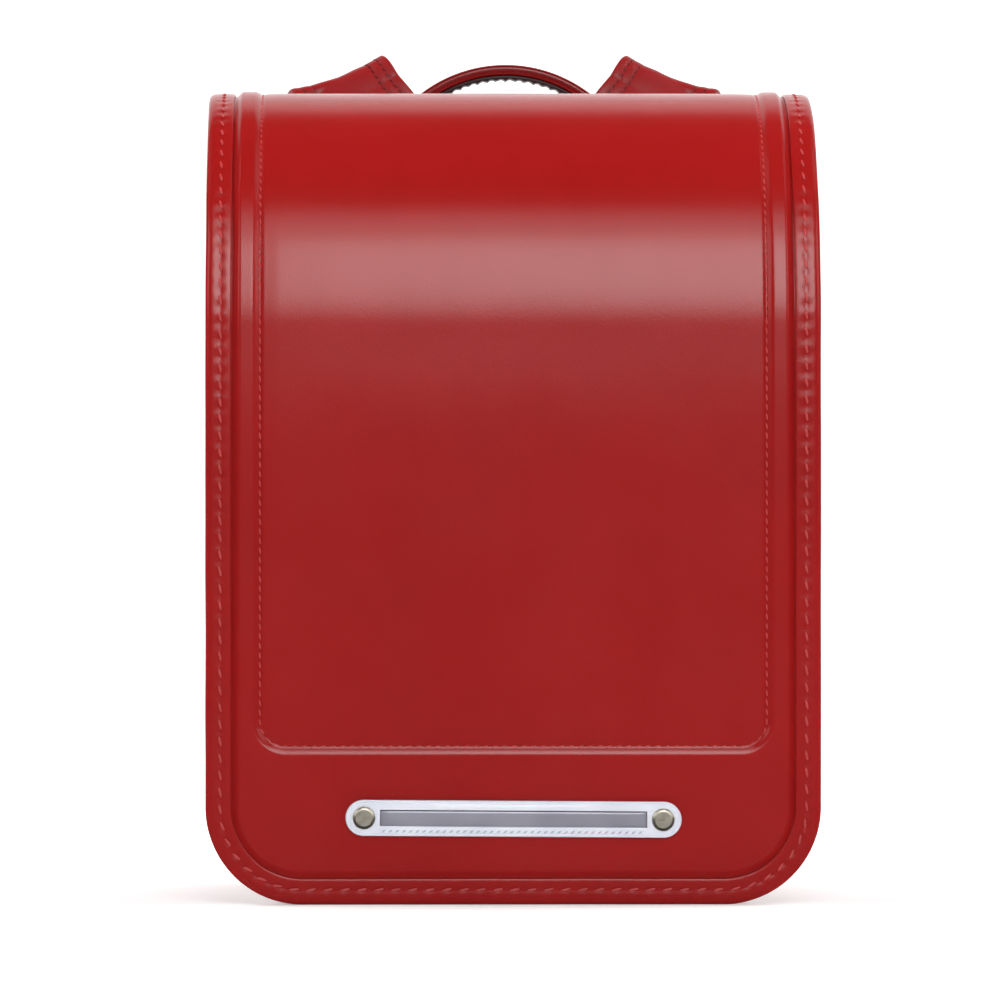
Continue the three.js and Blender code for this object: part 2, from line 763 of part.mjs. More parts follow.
// The tab hangs inside the flap's lower edge and turns back under the bag.
function closingTab() {
  const t = tabStrapThickness;
  const floor = tabFloorClearance;
  const bend = tabBend;
  const side = new THREE.Shape();
  side.moveTo(tabInner, tabStrapTop);
  side.lineTo(tabInner, floor + bend + t);
  side.absarc(tabInner + bend + t, floor + bend + t, bend + t, Math.PI, 1.5 * Math.PI, false);
  side.lineTo(tabInner + tabStrapReach, floor);
  side.lineTo(tabInner + tabStrapReach, floor + t);
  side.lineTo(tabInner + bend + t, floor + t);
  side.absarc(tabInner + bend + t, floor + bend + t, bend, 1.5 * Math.PI, Math.PI, true);
  side.lineTo(tabInner + t, tabStrapTop);
  side.closePath();
  const strip = new THREE.ExtrudeGeometry(side, { depth: tabStrapWidth, bevelEnabled: false, curveSegments: 6 });
  strip.translate(0, 0, -tabStrapWidth / 2);
  // The side view's x and y become the bag's y and z.
  strip.applyMatrix4(new THREE.Matrix4().set(0, 0, 1, 0, 1, 0, 0, 0, 0, 1, 0, 0, 0, 0, 0, 1));
  const hole = new THREE.CylinderGeometry(lockPostRadius + gap, lockPostRadius + gap, 4 * bodyLift, 20);
  hole.rotateX(Math.PI / 2).translate(0, lockY, 0);
  return cut(strip, hole);
}

function turnLock() {
  const plateThickness = bodyLift - gap - (tabFloorClearance + tabStrapThickness + gap);
  const plateTop = bodyLift - gap;
  const plate = new THREE.BoxGeometry(lockPlateWidth, lockPlateLength, plateThickness);
  plate.translate(0, lockY, plateTop - plateThickness / 2);
  const knobTop = tabFloorClearance - gap;
  const knobHeight = Math.min(lockKnobHeight, knobTop - lockFloorClearance);
  const knobShape = roundedRectangle(lockKnobLength, lockKnobWidth, lockKnobWidth / 2);
  const knob = new THREE.ExtrudeGeometry(knobShape, { depth: knobHeight, bevelEnabled: false, curveSegments: 4 });
  knob.translate(0, lockY, knobTop - knobHeight);
  const postHeight = plateTop - plateThickness / 2 - (knobTop - knobHeight / 2);
  const post = new THREE.CylinderGeometry(lockPostRadius, lockPostRadius, postHeight, 20);
  post.rotateX(Math.PI / 2).translate(0, lockY, knobTop - knobHeight / 2 + postHeight / 2);
  return joined(plate, knob, post);
}

const bag = new THREE.Group();

function piece(name, geometry, material, place = [0, 0, 0]) {
  const mesh = new THREE.Mesh(geometry, material);
  mesh.name = name;
  mesh.position.set(...place);
  bag.add(mesh);
  return mesh;
}

function mirrored(geometry) {
  const flat = geometry.index ? geometry.toNonIndexed() : geometry.clone();
  const turned = flat.applyMatrix4(new THREE.Matrix4().makeScale(-1, 1, 1));
  const p = turned.getAttribute("position");
  const swapped = new Float32Array(p.array);
  for (let i = 0; i < p.count; i += 3) {
    for (let k = 0; k < 3; k++) {
      swapped[(i + 1) * 3 + k] = p.array[(i + 2) * 3 + k];
      swapped[(i + 2) * 3 + k] = p.array[(i + 1) * 3 + k];
    }
  }
  return new THREE.BufferGeometry().setAttribute("position", new THREE.BufferAttribute(swapped, 3));
}

piece("flap_panel", flapPanel(), shellLeather);
piece("flap_border", flapBorder(), shellLeather);
piece("reflector_frame", reflectorFrame(), whitePlastic);
piece("reflector_sheet", reflectorSheet(), greySheet);
const rivetSeat = reflectorFront - reflectorThickness - gap;
piece("reflector_rivet_left", reflectorRivet(), paleBrass, [-rivetSpacing / 2, rivetSeat, reflectorHeight]);
piece("reflector_rivet_right", reflectorRivet(), paleBrass, [rivetSpacing / 2, rivetSeat, reflectorHeight]);
piece("pocket_front", facePlate(bodyWidth - 2 * pocketInset, pocketTop, pocketSetback), shellLeather);
const pocketGusset = gusset(bodyWidth - 2 * pocketInset, bodyLift, pocketTop, pocketSetback + wall + gap, pocketDepth);
piece("pocket_gusset", pocketGusset, shellLeather);
piece("divider", facePlate(bodyWidth, dividerTop, dividerFront), shellLeather);
piece("main_gusset", gusset(bodyWidth, bodyLift, mainTop, mainFront, mainDepth), shellLeather);
piece("back_panel", backPanel(), shellLeather);
piece("back_pad", backPad(), padLeather);
piece("yoke", yoke(), shellLeather);
piece("handle", handle(), strapLeather);
piece("closing_tab", closingTab(), shellLeather);
piece("turn_lock", turnLock(), nickel);
const strapSides = { right: (g) => g, left: mirrored };
for (const [side, turn] of Object.entries(strapSides)) {
  piece("shoulder_strap_" + side, turn(shoulderStrap()), strapLeather);
  piece("buckle_" + side, turn(buckle()), nickel);
  piece("lower_strap_" + side, turn(lowerStrap()), strapLeather);
  piece("ring_" + side, turn(ring()), nickel);
  piece("lug_" + side, turn(lug()), shellLeather);
}

// The origin lies under the middle of everything.
const reach = new THREE.Box3().setFromObject(bag);
bag.position.y = -(reach.min.y + reach.max.y) / 2;
const ransel = new THREE.Group();
ransel.add(bag);

export default ransel;
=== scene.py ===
"""A red leather school ransel, dressed over its frame: flap, edging, seams, reflector, straps and back."""

import json
import math

import bmesh
import bpy
from mathutils import Matrix, Vector, noise

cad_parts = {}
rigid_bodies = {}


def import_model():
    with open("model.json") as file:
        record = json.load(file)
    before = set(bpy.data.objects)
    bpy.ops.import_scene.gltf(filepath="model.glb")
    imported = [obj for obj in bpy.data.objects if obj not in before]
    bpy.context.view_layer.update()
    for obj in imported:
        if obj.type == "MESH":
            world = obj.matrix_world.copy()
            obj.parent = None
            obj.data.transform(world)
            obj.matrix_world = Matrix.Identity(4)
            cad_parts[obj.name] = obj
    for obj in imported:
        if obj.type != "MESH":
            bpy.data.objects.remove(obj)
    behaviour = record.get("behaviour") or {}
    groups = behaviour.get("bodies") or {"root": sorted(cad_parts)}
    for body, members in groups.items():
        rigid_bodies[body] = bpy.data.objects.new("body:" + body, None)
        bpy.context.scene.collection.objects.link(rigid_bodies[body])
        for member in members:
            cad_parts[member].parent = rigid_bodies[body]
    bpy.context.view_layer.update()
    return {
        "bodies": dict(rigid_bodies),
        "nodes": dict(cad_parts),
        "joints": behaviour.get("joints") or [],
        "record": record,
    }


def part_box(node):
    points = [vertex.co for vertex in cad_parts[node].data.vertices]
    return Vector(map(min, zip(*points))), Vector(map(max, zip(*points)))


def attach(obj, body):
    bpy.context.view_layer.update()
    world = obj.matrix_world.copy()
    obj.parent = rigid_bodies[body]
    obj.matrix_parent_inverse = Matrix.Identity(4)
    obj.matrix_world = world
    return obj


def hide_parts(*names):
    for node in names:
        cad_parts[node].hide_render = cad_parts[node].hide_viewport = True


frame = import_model()

MM = 0.001

# Sizes of the bag in millimetres; the overall ones come from the frame

edging_low, edging_high = (Vector(corner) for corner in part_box("flap_border"))
BAG_WIDTH = (edging_high.x - edging_low.x) / MM
BAG_DEPTH = (edging_high.y - edging_low.y) / MM
BAG_HEIGHT = edging_high.z / MM
FLAP_FACE = edging_low.y

FRONT_CURVE = 105
REAR_CURVE = 150
HINGE_CURVE = 14
HEM = 16
CORNER = 42
EDGING_LIP = 1.0
EDGING_GRIP = 4.3
LEATHER = 1.7
CLEAR = 0.3

RIM_START = 12
RIM_WIDTH = 11.5
RIM_HEIGHT = 1.1
SEAM_HEIGHT = 68
SEAM_CORNER = 11
SEAM_INSET = RIM_START + RIM_WIDTH

STRAIGHT = BAG_HEIGHT - FRONT_CURVE
REAR_SWEEP = math.asin((BAG_DEPTH - HINGE_CURVE - FRONT_CURVE) / (REAR_CURVE - HINGE_CURVE))
HINGE_SWEEP = math.pi / 2 - REAR_SWEEP
FRONT_END = STRAIGHT + FRONT_CURVE * math.pi / 2
REAR_END = FRONT_END + REAR_CURVE * REAR_SWEEP
HINGE_END = REAR_END + HINGE_CURVE * HINGE_SWEEP
FLAP_LENGTH = HINGE_END + HEM
HINGE_Y = BAG_DEPTH - HINGE_CURVE
HINGE_Z = BAG_HEIGHT - REAR_CURVE + (REAR_CURVE - HINGE_CURVE) * math.cos(REAR_SWEEP)


# Small helpers


def evenly(start, end, steps):
    return [start + (end - start) * i / steps for i in range(steps + 1)]


def smooth_step(t):
    t = min(max(t, 0), 1)
    return t * t * (3 - 2 * t)


def bell(distance, width):
    return math.exp(-((distance / width) ** 2))


def at(x, y, z):
    """A point in millimetres, with y counted from the flap's face, as a point of the scene."""
    return Vector((x * MM, FLAP_FACE + y * MM, z * MM))


def ripple(x, y, z, size, depth):
    """The slight unevenness of leather over board."""
    return depth * noise.noise(Vector((x, y, z)) / size)


BOW = 1.5


def bow(s):
    """How far the board's bend eases into the flat front, below the height where the round begins."""
    eased = smooth_step((s - STRAIGHT + 70) / 84) ** 2
    return BOW * eased * (1 - smooth_step((s - STRAIGHT - 14) / 130))


def on_flap(x, s, h):
    """Where a point of the flap's flat cut lies: x across, s up from the lower edge, h out of the leather."""
    h -= bow(s)
    if s <= STRAIGHT:
        return at(x, -h, s)
    if s <= FRONT_END:
        turn = (s - STRAIGHT) / FRONT_CURVE
        r = FRONT_CURVE + h
        return at(x, FRONT_CURVE - r * math.cos(turn), STRAIGHT + r * math.sin(turn))
    if s <= REAR_END:
        turn = (s - FRONT_END) / REAR_CURVE
        r = REAR_CURVE + h
        return at(x, FRONT_CURVE + r * math.sin(turn), BAG_HEIGHT - REAR_CURVE + r * math.cos(turn))
    if s <= HINGE_END:
        turn = REAR_SWEEP + (s - REAR_END) / HINGE_CURVE
        r = HINGE_CURVE + h
        return at(x, HINGE_Y + r * math.sin(turn), HINGE_Z + r * math.cos(turn))
    return at(x, BAG_DEPTH + h, HINGE_Z - (s - HINGE_END))


def half_width(s, inset):
    side = BAG_WIDTH / 2 - inset
    if s >= CORNER:
        return side
    reach = max((CORNER - inset) ** 2 - (CORNER - s) ** 2, 0)
    return BAG_WIDTH / 2 - CORNER + math.sqrt(reach)


def inset_of(x, s):
    """Distance inside the flap's outline."""
    from_side = BAG_WIDTH / 2 - abs(x)
    if s >= CORNER or from_side >= CORNER:
        return min(from_side, s)
    return CORNER - math.hypot(CORNER - from_side, CORNER - s)


def inside_panel(x, s):
    """Distance inside the stitched panel, negative on the padded rim around it."""
    across = BAG_WIDTH / 2 - SEAM_INSET - abs(x)
    along = s - SEAM_HEIGHT
    if across >= SEAM_CORNER or along >= SEAM_CORNER:
        return min(across, along)
    return SEAM_CORNER - math.hypot(SEAM_CORNER - across, SEAM_CORNER - along)


# Meshes


def finished(name, bm, finish, smooth_angle=None):
    """Turns a bmesh into an object of the scene that rides on the bag."""
    mesh = bpy.data.meshes.new(name)
    bm.to_mesh(mesh)
    bm.free()
    mesh.materials.append(finish)
    mesh.shade_smooth()
    if smooth_angle is not None:
        mesh.set_sharp_from_angle(angle=math.radians(smooth_angle))
    piece = bpy.data.objects.new(name, mesh)
    bpy.context.scene.collection.objects.link(piece)
    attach(piece, "root")
    return piece


def laid_out(bm, across, along, place):
    """A grid whose corner (a, b) goes where place says, for every a in across and b in along."""
    grid = bmesh.ops.create_grid(bm, x_segments=len(across) - 1, y_segments=len(along) - 1, size=0.5)
    for corner in grid["verts"]:
        i = round((corner.co.x + 0.5) * (len(across) - 1))
        j = round((corner.co.y + 0.5) * (len(along) - 1))
        corner.co = place(across[i], along[j])
    return grid["verts"]


def swept(section, stations, place):
    """A closed section carried along the stations, with its ends filled in; section is a list of (u, v)."""
    bm = bmesh.new()
    laid_out(bm, section + section[:1], stations, place)
    bmesh.ops.remove_doubles(bm, verts=bm.verts, dist=0.000002)
    bmesh.ops.holes_fill(bm, edges=[edge for edge in bm.edges if edge.is_boundary], sides=0)
    bmesh.ops.recalc_face_normals(bm, faces=bm.faces)
    return bm


def stitch_places(route, pitch):
    """Where each stitch of a route of (point, outward direction) pairs lies: middle, along and outward."""
    places = []
    walked, due = 0, pitch / 2
    for (here, out), (there, _) in zip(route, route[1:]):
        step = (there - here).length / MM
        while due < walked + step:
            places.append((here.lerp(there, (due - walked) / step), (there - here).normalized(), out))
            due += pitch
        walked += step
    return places


# A stitch from end to end: the share of its length and of its thickness.
STITCH_ROWS = [(-1, 0), (-0.82, 0.62), (-0.3, 1), (0.3, 1), (0.82, 0.62), (1, 0)]


def threads(routes, pitch, length, width, slant=12, height=0.55):
    """Stitches along the routes, all in one mesh; sizes in millimetres, slant in degrees."""
    stations = []
    for route in routes:
        for middle, ahead, out in stitch_places(route, pitch):
            across = out.cross(ahead).normalized()
            up = ahead.cross(across).normalized()
            turn = math.radians(slant)
            along = ahead * math.cos(turn) + across * math.sin(turn)
            aside = across * math.cos(turn) - ahead * math.sin(turn)
            for reach, thick in STITCH_ROWS:
                place = middle + along * (reach * length / 2 * MM)
                reach_aside = thick * width / 2 * MM
                stations.append((place, aside * reach_aside, up * reach_aside * height))
    round_it = [(math.cos(a), math.sin(a)) for a in evenly(0, 2 * math.pi, 6)]
    bm = bmesh.new()
    laid_out(bm, round_it, stations, lambda turn, spot: spot[0] + turn[0] * spot[1] + turn[1] * spot[2])
    bmesh.ops.remove_doubles(bm, verts=bm.verts, dist=0.000002)
    bmesh.ops.delete(bm, geom=[edge for edge in bm.edges if not edge.link_faces], context="EDGES")
    bmesh.ops.recalc_face_normals(bm, faces=bm.faces)
    return bm


# Finishes


class Field:
    """A value that varies over a surface: arithmetic on it adds the nodes that work it out."""

    def __init__(self, finish, socket):
        self.finish = finish
        self.socket = socket

    def worked(self, operation, *values):
        return self.finish.node("Math", {"operation": operation}, dict(enumerate(values)))

    def __add__(self, other):
        return self.worked("ADD", self, other)

    def __mul__(self, other):
        return self.worked("MULTIPLY", self, other)

    def __sub__(self, other):
        return self.worked("SUBTRACT", self, other)

    def __rsub__(self, other):
        return self.worked("SUBTRACT", other, self)

    __radd__ = __add__
    __rmul__ = __mul__


class Finish:
    """A material in the making."""

    def __init__(self, name):
        self.material = bpy.data.materials.new(name)
        self.material.use_nodes = True
        self.tree = self.material.node_tree
        self.tree.nodes.clear()

    def node(self, kind, settings=None, sockets=None, output=0):
        made = self.tree.nodes.new("ShaderNode" + kind)
        for name, value in (settings or {}).items():
            if name == "stops":
                for stop, (place, colour) in zip(made.color_ramp.elements, value):
                    stop.position = place
                    stop.color = colour
            else:
                setattr(made, name, value)
        for name, value in (sockets or {}).items():
            if isinstance(value, Field):
                self.tree.links.new(value.socket, made.inputs[name])
            else:
                made.inputs[name].default_value = value
        return Field(self, made.outputs[output])

    def place(self):
        return self.node("TexCoord", output="Object")

    def noise(self, scale, detail=2, roughness=0.5, stretch=(1, 1, 1)):
        spot = self.node("Mapping", sockets={"Vector": self.place(), "Scale": stretch})
        sockets = {"Vector": spot, "Scale": scale, "Detail": detail, "Roughness": roughness}
        return self.node("TexNoise", sockets=sockets)

    def cells(self, scale):
        return self.node("TexVoronoi", sockets={"Vector": self.place(), "Scale": scale}, output="Distance")

    def between(self, value, low, high, from_low=0.0, from_high=1.0):
        sockets = {"Value": value, "From Min": from_low, "From Max": from_high, "To Min": low, "To Max": high}
        return self.node("MapRange", {"interpolation_type": "SMOOTHSTEP"}, sockets)

    def mixed(self, share, first, second):
        sockets = {0: share, 6: first, 7: second}
        return self.node("Mix", {"data_type": "RGBA"}, sockets, output=2)

    def bumped(self, height, distance, strength=1.0):
        return self.node("Bump", sockets={"Height": height, "Distance": distance, "Strength": strength})

    def surface(self, **sockets):
        named = {name.replace("_", " "): value for name, value in sockets.items()}
        shader = self.node("BsdfPrincipled", sockets=named)
        self.node_out(shader)
        return self.material

    def node_out(self, shader):
        out = self.tree.nodes.new("ShaderNodeOutputMaterial")
        self.tree.links.new(shader.socket, out.inputs["Surface"])


def leather(name, deep, bright, roughness, coat, grain=0.00004, pores=1500):
    """Coated leather: clouded colour, fine closed grain, faint long waves and a satin top coat."""
    f = Finish(name)
    clouds = f.noise(7, detail=2, roughness=0.5)
    mottle = f.noise(60, detail=2, roughness=0.5)
    colour = f.mixed(f.between(clouds * 0.7 + mottle * 0.3, 0, 1, 0.25, 0.75), deep, bright)
    pore = f.cells(pores)
    fine = f.noise(2600, detail=2)
    height = pore * 0.6 + fine * 0.4
    smear = f.between(f.noise(24, detail=2, roughness=0.5), roughness - 0.012, roughness + 0.016, 0.25, 0.75)
    return f.surface(
        Base_Color=colour,
        Roughness=smear + fine * 0.03,
        Coat_Weight=f.between(mottle, coat * 0.9, coat, 0.2, 0.8),
        Coat_Roughness=0.2,
        Coat_IOR=1.45,
        IOR=1.46,
        Normal=f.bumped(height, grain),
    )


def thread(name, deep, bright):
    """Waxed sewing thread with a fine twist."""
    f = Finish(name)
    twist = f.noise(2400, detail=1, stretch=(1, 1, 3))
    colour = f.mixed(f.between(twist, 0, 1, 0.35, 0.65), deep, bright)
    return f.surface(Base_Color=colour, Roughness=f.between(twist, 0.32, 0.5), Normal=f.bumped(twist, 0.0001))


def metal(name, tint, dark, roughness):
    """Polished plated metal with faint wiping marks."""
    f = Finish(name)
    wiped = f.noise(260, detail=4, roughness=0.7, stretch=(1, 1, 7))
    dull = f.noise(45, detail=3)
    colour = f.mixed(f.between(dull, 0, 1, 0.3, 0.7), dark, tint)
    return f.surface(
        Base_Color=colour,
        Metallic=1.0,
        Roughness=f.between(wiped, roughness * 0.8, roughness * 1.35, 0.3, 0.7),
        Normal=f.bumped(wiped, 0.00001),
    )


def plastic(name, deep, bright, roughness, metallic=0.0):
    """Moulded plastic with a slight haze."""
    f = Finish(name)
    haze = f.noise(50, detail=1, roughness=0.5)
    speck = f.noise(1800, detail=2)
    return f.surface(
        Base_Color=f.mixed(f.between(haze, 0, 1, 0.2, 0.8), deep, bright),
        Metallic=metallic,
        Roughness=f.between(haze, roughness * 0.96, roughness * 1.06, 0.2, 0.8) + speck * 0.04,
        Coat_Weight=0.3,
        Coat_Roughness=0.12,
        Normal=f.bumped(speck, 0.00001),
    )


SHELL = leather("shell_leather", (0.295, 0.0065, 0.006, 1), (0.335, 0.0085, 0.008, 1), 0.2, 0.2)
STRAP = leather("strap_leather", (0.25, 0.009, 0.0095, 1), (0.29, 0.012, 0.013, 1), 0.4, 0.2, grain=0.00006)
PAD_TONES = ((0.22, 0.008, 0.009, 1), (0.27, 0.011, 0.012, 1))
PAD = leather("pad_leather", *PAD_TONES, 0.58, 0.05, grain=0.00012, pores=900)
THREAD = thread("red_thread", (0.42, 0.025, 0.025, 1), (0.62, 0.075, 0.075, 1))
DARK_THREAD = thread("dark_red_thread", (0.09, 0.006, 0.007, 1), (0.16, 0.012, 0.014, 1))
HANDLE_RED = leather("handle_leather", (0.21, 0.006, 0.006, 1), (0.25, 0.008, 0.008, 1), 0.26, 0.15)
# The handle lining: near-black partly as its own dark leather, partly as painted shade where the handle's
# underside faces down
LINING_AND_PAINTED_SHADE = leather("lining_and_painted_shade", (0.02, 0.002, 0.002, 1), (0.035, 0.003, 0.003, 1), 0.5, 0.1)
NICKEL = metal("nickel", (0.86, 0.85, 0.83, 1), (0.76, 0.75, 0.74, 1), 0.3)
PALE_BRASS = metal("pale_brass", (0.95, 0.88, 0.74, 1), (0.88, 0.81, 0.67, 1), 0.36)
WHITE = plastic("white_plastic", (0.72, 0.76, 0.86, 1), (0.82, 0.85, 0.92, 1), 0.34)
RIB_GREY = plastic("rib_grey", (0.42, 0.46, 0.56, 1), (0.52, 0.56, 0.66, 1), 0.36)
GREY = plastic("grey_sheet", (0.3, 0.3, 0.36, 1), (0.38, 0.38, 0.45, 1), 0.28, metallic=0.25)


# Flap: one thick skin with a padded rim and a sewn panel

RIM_SHOULDER = 3.6
SEAM_CHANNEL = 0.45
SEAM_CHANNEL_WIDTH = 0.9
PANEL_CROWN = 0.25
CORE_FACE = -EDGING_LIP - CLEAR
CORE_BACK = CORE_FACE - LEATHER


def relief(x, s):
    """Height of the flap's leather over the edging's face."""
    inset = inset_of(x, s)
    panel = inside_panel(x, s)
    rim = smooth_step((inset - RIM_START + 0.5) / RIM_SHOULDER)
    ledge = smooth_step(-panel / RIM_SHOULDER)
    level = CORE_FACE + (RIM_HEIGHT - CORE_FACE) * rim if panel < 0 else RIM_HEIGHT
    level = min(level, RIM_HEIGHT * ledge) if rim >= 1 else level
    if panel > 0:
        level = PANEL_CROWN * smooth_step(panel / 9)
    channel = SEAM_CHANNEL * bell(panel, SEAM_CHANNEL_WIDTH)
    return level - channel + ripple(x, s, 0, 55, 0.16) * smooth_step((inset - RIM_START) / 8)


def flap_columns(s):
    """Places across the flap at height s: close together over the rim and seam, wide apart in the middle."""
    half = half_width(s, EDGING_LIP + CLEAR)
    close = [0, 3, 6, 8.6] + evenly(9.2, 34, 44)
    right = [half - c for c in close]
    middle = [x * right[-1] for x in evenly(1, -1, 30)][1:-1]
    return right + middle + [-x for x in reversed(right)]


def flap_skin():
    inset = EDGING_LIP + CLEAR
    corner = [CORNER - (CORNER - inset) * math.cos(a) for a in evenly(0, math.pi / 2, 56)]
    stations = corner + evenly(CORNER, SEAM_HEIGHT - 8, 9)[1:]
    stations += evenly(SEAM_HEIGHT - 8, SEAM_HEIGHT + 14, 32)[1:]
    stations += evenly(SEAM_HEIGHT + 14, STRAIGHT, 42)[1:] + evenly(STRAIGHT, FRONT_END, 70)[1:]
    stations += evenly(FRONT_END, REAR_END, 26)[1:] + evenly(REAR_END, HINGE_END, 14)[1:]
    stations += [HINGE_END + HEM / 2, FLAP_LENGTH]
    face = len(flap_columns(CORNER))
    back_columns = 12
    around = [("face", i) for i in range(face)] + [("back", i) for i in range(back_columns + 1)]

    def place(mark, s):
        side, i = mark
        if side == "face":
            x = flap_columns(s)[i]
            return on_flap(x, s, relief(x, s))
        half = half_width(s, inset)
        return on_flap(-half + 2 * half * i / back_columns, s, CORE_BACK)

    return swept(around, stations, place)


# Edging: a strip folded over the flap's edge, drawn in a little at each stitch

EDGING_SEAM = 6.4
EDGING_PITCH = 7.3
SEAM_PITCH = 4.1
EDGE_FACE = [(11.2, -1.0), (11.2, -0.45), (11.05, -0.16), (10.6, -0.02), (9.4, 0.0), (8.2, -0.02)]
EDGE_FACE += [(7.2, -0.16), (6.4, -0.26), (5.6, -0.16), (4.6, -0.02), (3.2, -0.02), (2.0, -0.18)]
EDGE_FACE += [(1.1, -0.52), (0.45, -1.0), (0.1, -1.6), (0.0, -2.15)]


def edging_route():
    """Places round the flap's outline from one hem to the other, as (x, s, inward x, inward s, distance)."""
    half = BAG_WIDTH / 2
    side_steps = round((FLAP_LENGTH - CORNER) / 1.25)
    arc = CORNER * math.pi / 2
    route = [(-half, s, 1, 0, FLAP_LENGTH - s) for s in evenly(FLAP_LENGTH, CORNER, side_steps)]
    for a in evenly(0, math.pi / 2, 52)[1:]:
        inward = (math.cos(a), math.sin(a))
        start = FLAP_LENGTH - CORNER
        x, s = -half + CORNER * (1 - inward[0]), CORNER * (1 - inward[1])
        route.append((x, s, *inward, start + CORNER * a))
    start = FLAP_LENGTH - CORNER + arc
    bottom = 2 * (half - CORNER)
    route += [(x, 0, 0, 1, start + x + half - CORNER) for x in evenly(-half + CORNER, half - CORNER, 144)[1:]]
    start += bottom
    for a in evenly(math.pi / 2, 0, 52)[1:]:
        inward = (-math.cos(a), math.sin(a))
        x, s = half - CORNER * (1 + inward[0]), CORNER * (1 - inward[1])
        route.append((x, s, *inward, start + CORNER * (math.pi / 2 - a)))
    start += arc
    route += [(half, s, -1, 0, start + s - CORNER) for s in evenly(CORNER, FLAP_LENGTH, side_steps)[1:]]
    return route


def edging_place(mark, spot):
    d, h = mark
    x, s, in_x, in_s, walked = spot
    drawn = 0.14 * bell(d - EDGING_SEAM, 2.2) * math.cos(2 * math.pi * walked / EDGING_PITCH)
    sway = ripple(x, s, 40, 34, 0.18)
    h = h - drawn if h > -EDGING_GRIP / 2 else h + drawn
    return on_flap(x + (d + sway) * in_x, s + (d + sway) * in_s, h)


def flap_edging():
    back = [(d, -EDGING_GRIP - h) for d, h in reversed(EDGE_FACE)]
    web = [(1.2, -EDGING_GRIP + EDGING_LIP), (1.2, -EDGING_LIP)]
    section = EDGE_FACE + back[1:] + web
    return swept(section, edging_route(), edging_place)


def outward(x, s):
    return (on_flap(x, s, 1) - on_flap(x, s, 0)).normalized()


def edging_thread_route(face_height):
    """Where the edging's stitches lie, on its face or, mirrored, behind it."""
    route = []
    for x, s, in_x, in_s, _ in edging_route():
        tx, ts = x + EDGING_SEAM * in_x, s + EDGING_SEAM * in_s
        route.append((on_flap(tx, ts, face_height), outward(tx, ts)))
    return route


def seam_thread_route():
    """The sewn panel's outline: down one side, round the corner, across, and up the other side."""
    side = BAG_WIDTH / 2 - SEAM_INSET
    flat = [(-side, s) for s in evenly(HINGE_END, SEAM_HEIGHT + SEAM_CORNER, 320)]
    for a in evenly(0, math.pi / 2, 16)[1:]:
        flat.append((-side + SEAM_CORNER * (1 - math.cos(a)), SEAM_HEIGHT + SEAM_CORNER * (1 - math.sin(a))))
    flat += [(x, SEAM_HEIGHT) for x in evenly(-side + SEAM_CORNER, side - SEAM_CORNER, 80)[1:]]
    for a in evenly(math.pi / 2, 0, 16)[1:]:
        flat.append((side - SEAM_CORNER * (1 - math.cos(a)), SEAM_HEIGHT + SEAM_CORNER * (1 - math.sin(a))))
    flat += [(side, s) for s in evenly(SEAM_HEIGHT + SEAM_CORNER, HINGE_END, 320)[1:]]
    return [(on_flap(x, s, relief(x, s) + 0.05), outward(x, s)) for x, s in flat]


skin = finished("flap_skin", flap_skin(), SHELL, 60)
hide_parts("flap_panel")
edging = finished("flap_edging", flap_edging(), SHELL, 60)
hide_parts("flap_border")

EDGING_STITCH = (4.4, 1.15)
SEAM_STITCH = (2.9, 0.75)
for name, face in (("edging_thread", 0.0), ("edging_thread_back", -EDGING_GRIP)):
    finished(name, threads([edging_thread_route(face)], EDGING_PITCH, *EDGING_STITCH), THREAD)
finished("seam_thread", threads([seam_thread_route()], SEAM_PITCH, *SEAM_STITCH), THREAD)

# Curved strips: a section of (u, v) carried along a route of (middle, across, out) in millimetres


def centripetal(points, share):
    """A smooth curve through the points: its place and direction at a share of the way."""
    place = share * (len(points) - 1)
    i = min(int(place), len(points) - 2)
    t = place - i
    b, c = points[i], points[i + 1]
    a = points[i - 1] if i > 0 else 2 * b - c
    d = points[i + 2] if i + 2 < len(points) else 2 * c - b
    ab, bc, cd = ((q - p).length ** 0.5 for p, q in ((a, b), (b, c), (c, d)))
    m = bc * ((b - a) / ab - (c - a) / (ab + bc) + (c - b) / bc)
    n = bc * ((c - b) / bc - (d - b) / (bc + cd) + (d - c) / cd)
    square = 3 * (c - b) - 2 * m - n
    cube = 2 * (b - c) + m + n
    return b + m * t + square * t * t + cube * t ** 3, (m + 2 * square * t + 3 * cube * t * t).normalized()


def strip_frame(middle, along, roll=0):
    """The strip's across and out directions where it runs along; roll, in degrees, lowers its outer edge."""
    turn = math.radians(roll)
    level = Vector((math.cos(turn), 0, -math.sin(turn)))
    across = (level - along * level.dot(along)).normalized()
    return middle, across, along.cross(across).normalized()


def on_strip(frame, u, v, side=1):
    middle, across, out = frame
    spot = middle + u * across + v * out
    return at(side * spot.x, spot.y, spot.z)


def strip_outward(frame, side, face):
    out = frame[2] * face
    return Vector((side * out.x, out.y, out.z))


def plain_strip(frames, width, thickness, soft, side=1, crown=0.0):
    """A flat strip with softened edges and a very slight crown on both faces."""
    half, thick = width / 2, thickness / 2
    round_at = [0, 0.07, 0.3, 1, 1.6]
    spots = []
    for face in (1, -1):
        edge = []
        for r in round_at:
            drop = soft * math.sqrt(max(1 - (1 - min(r, 1)) ** 2, 0))
            edge.append((half - soft * r, thick - soft + drop))
        row = edge + [(half * a, thick + crown * (1 - a * a)) for a in (0.6, 0.3, 0)]
        row += [(-u, v) for u, v in reversed(row[:-1])]
        spots += [(u * face, v * face) for u, v in row]
    return swept(spots, frames, lambda spot, frame: on_strip(frame, *spot, side))


# Shoulder straps: two leathers over a thin pad, sewn twice along each long edge

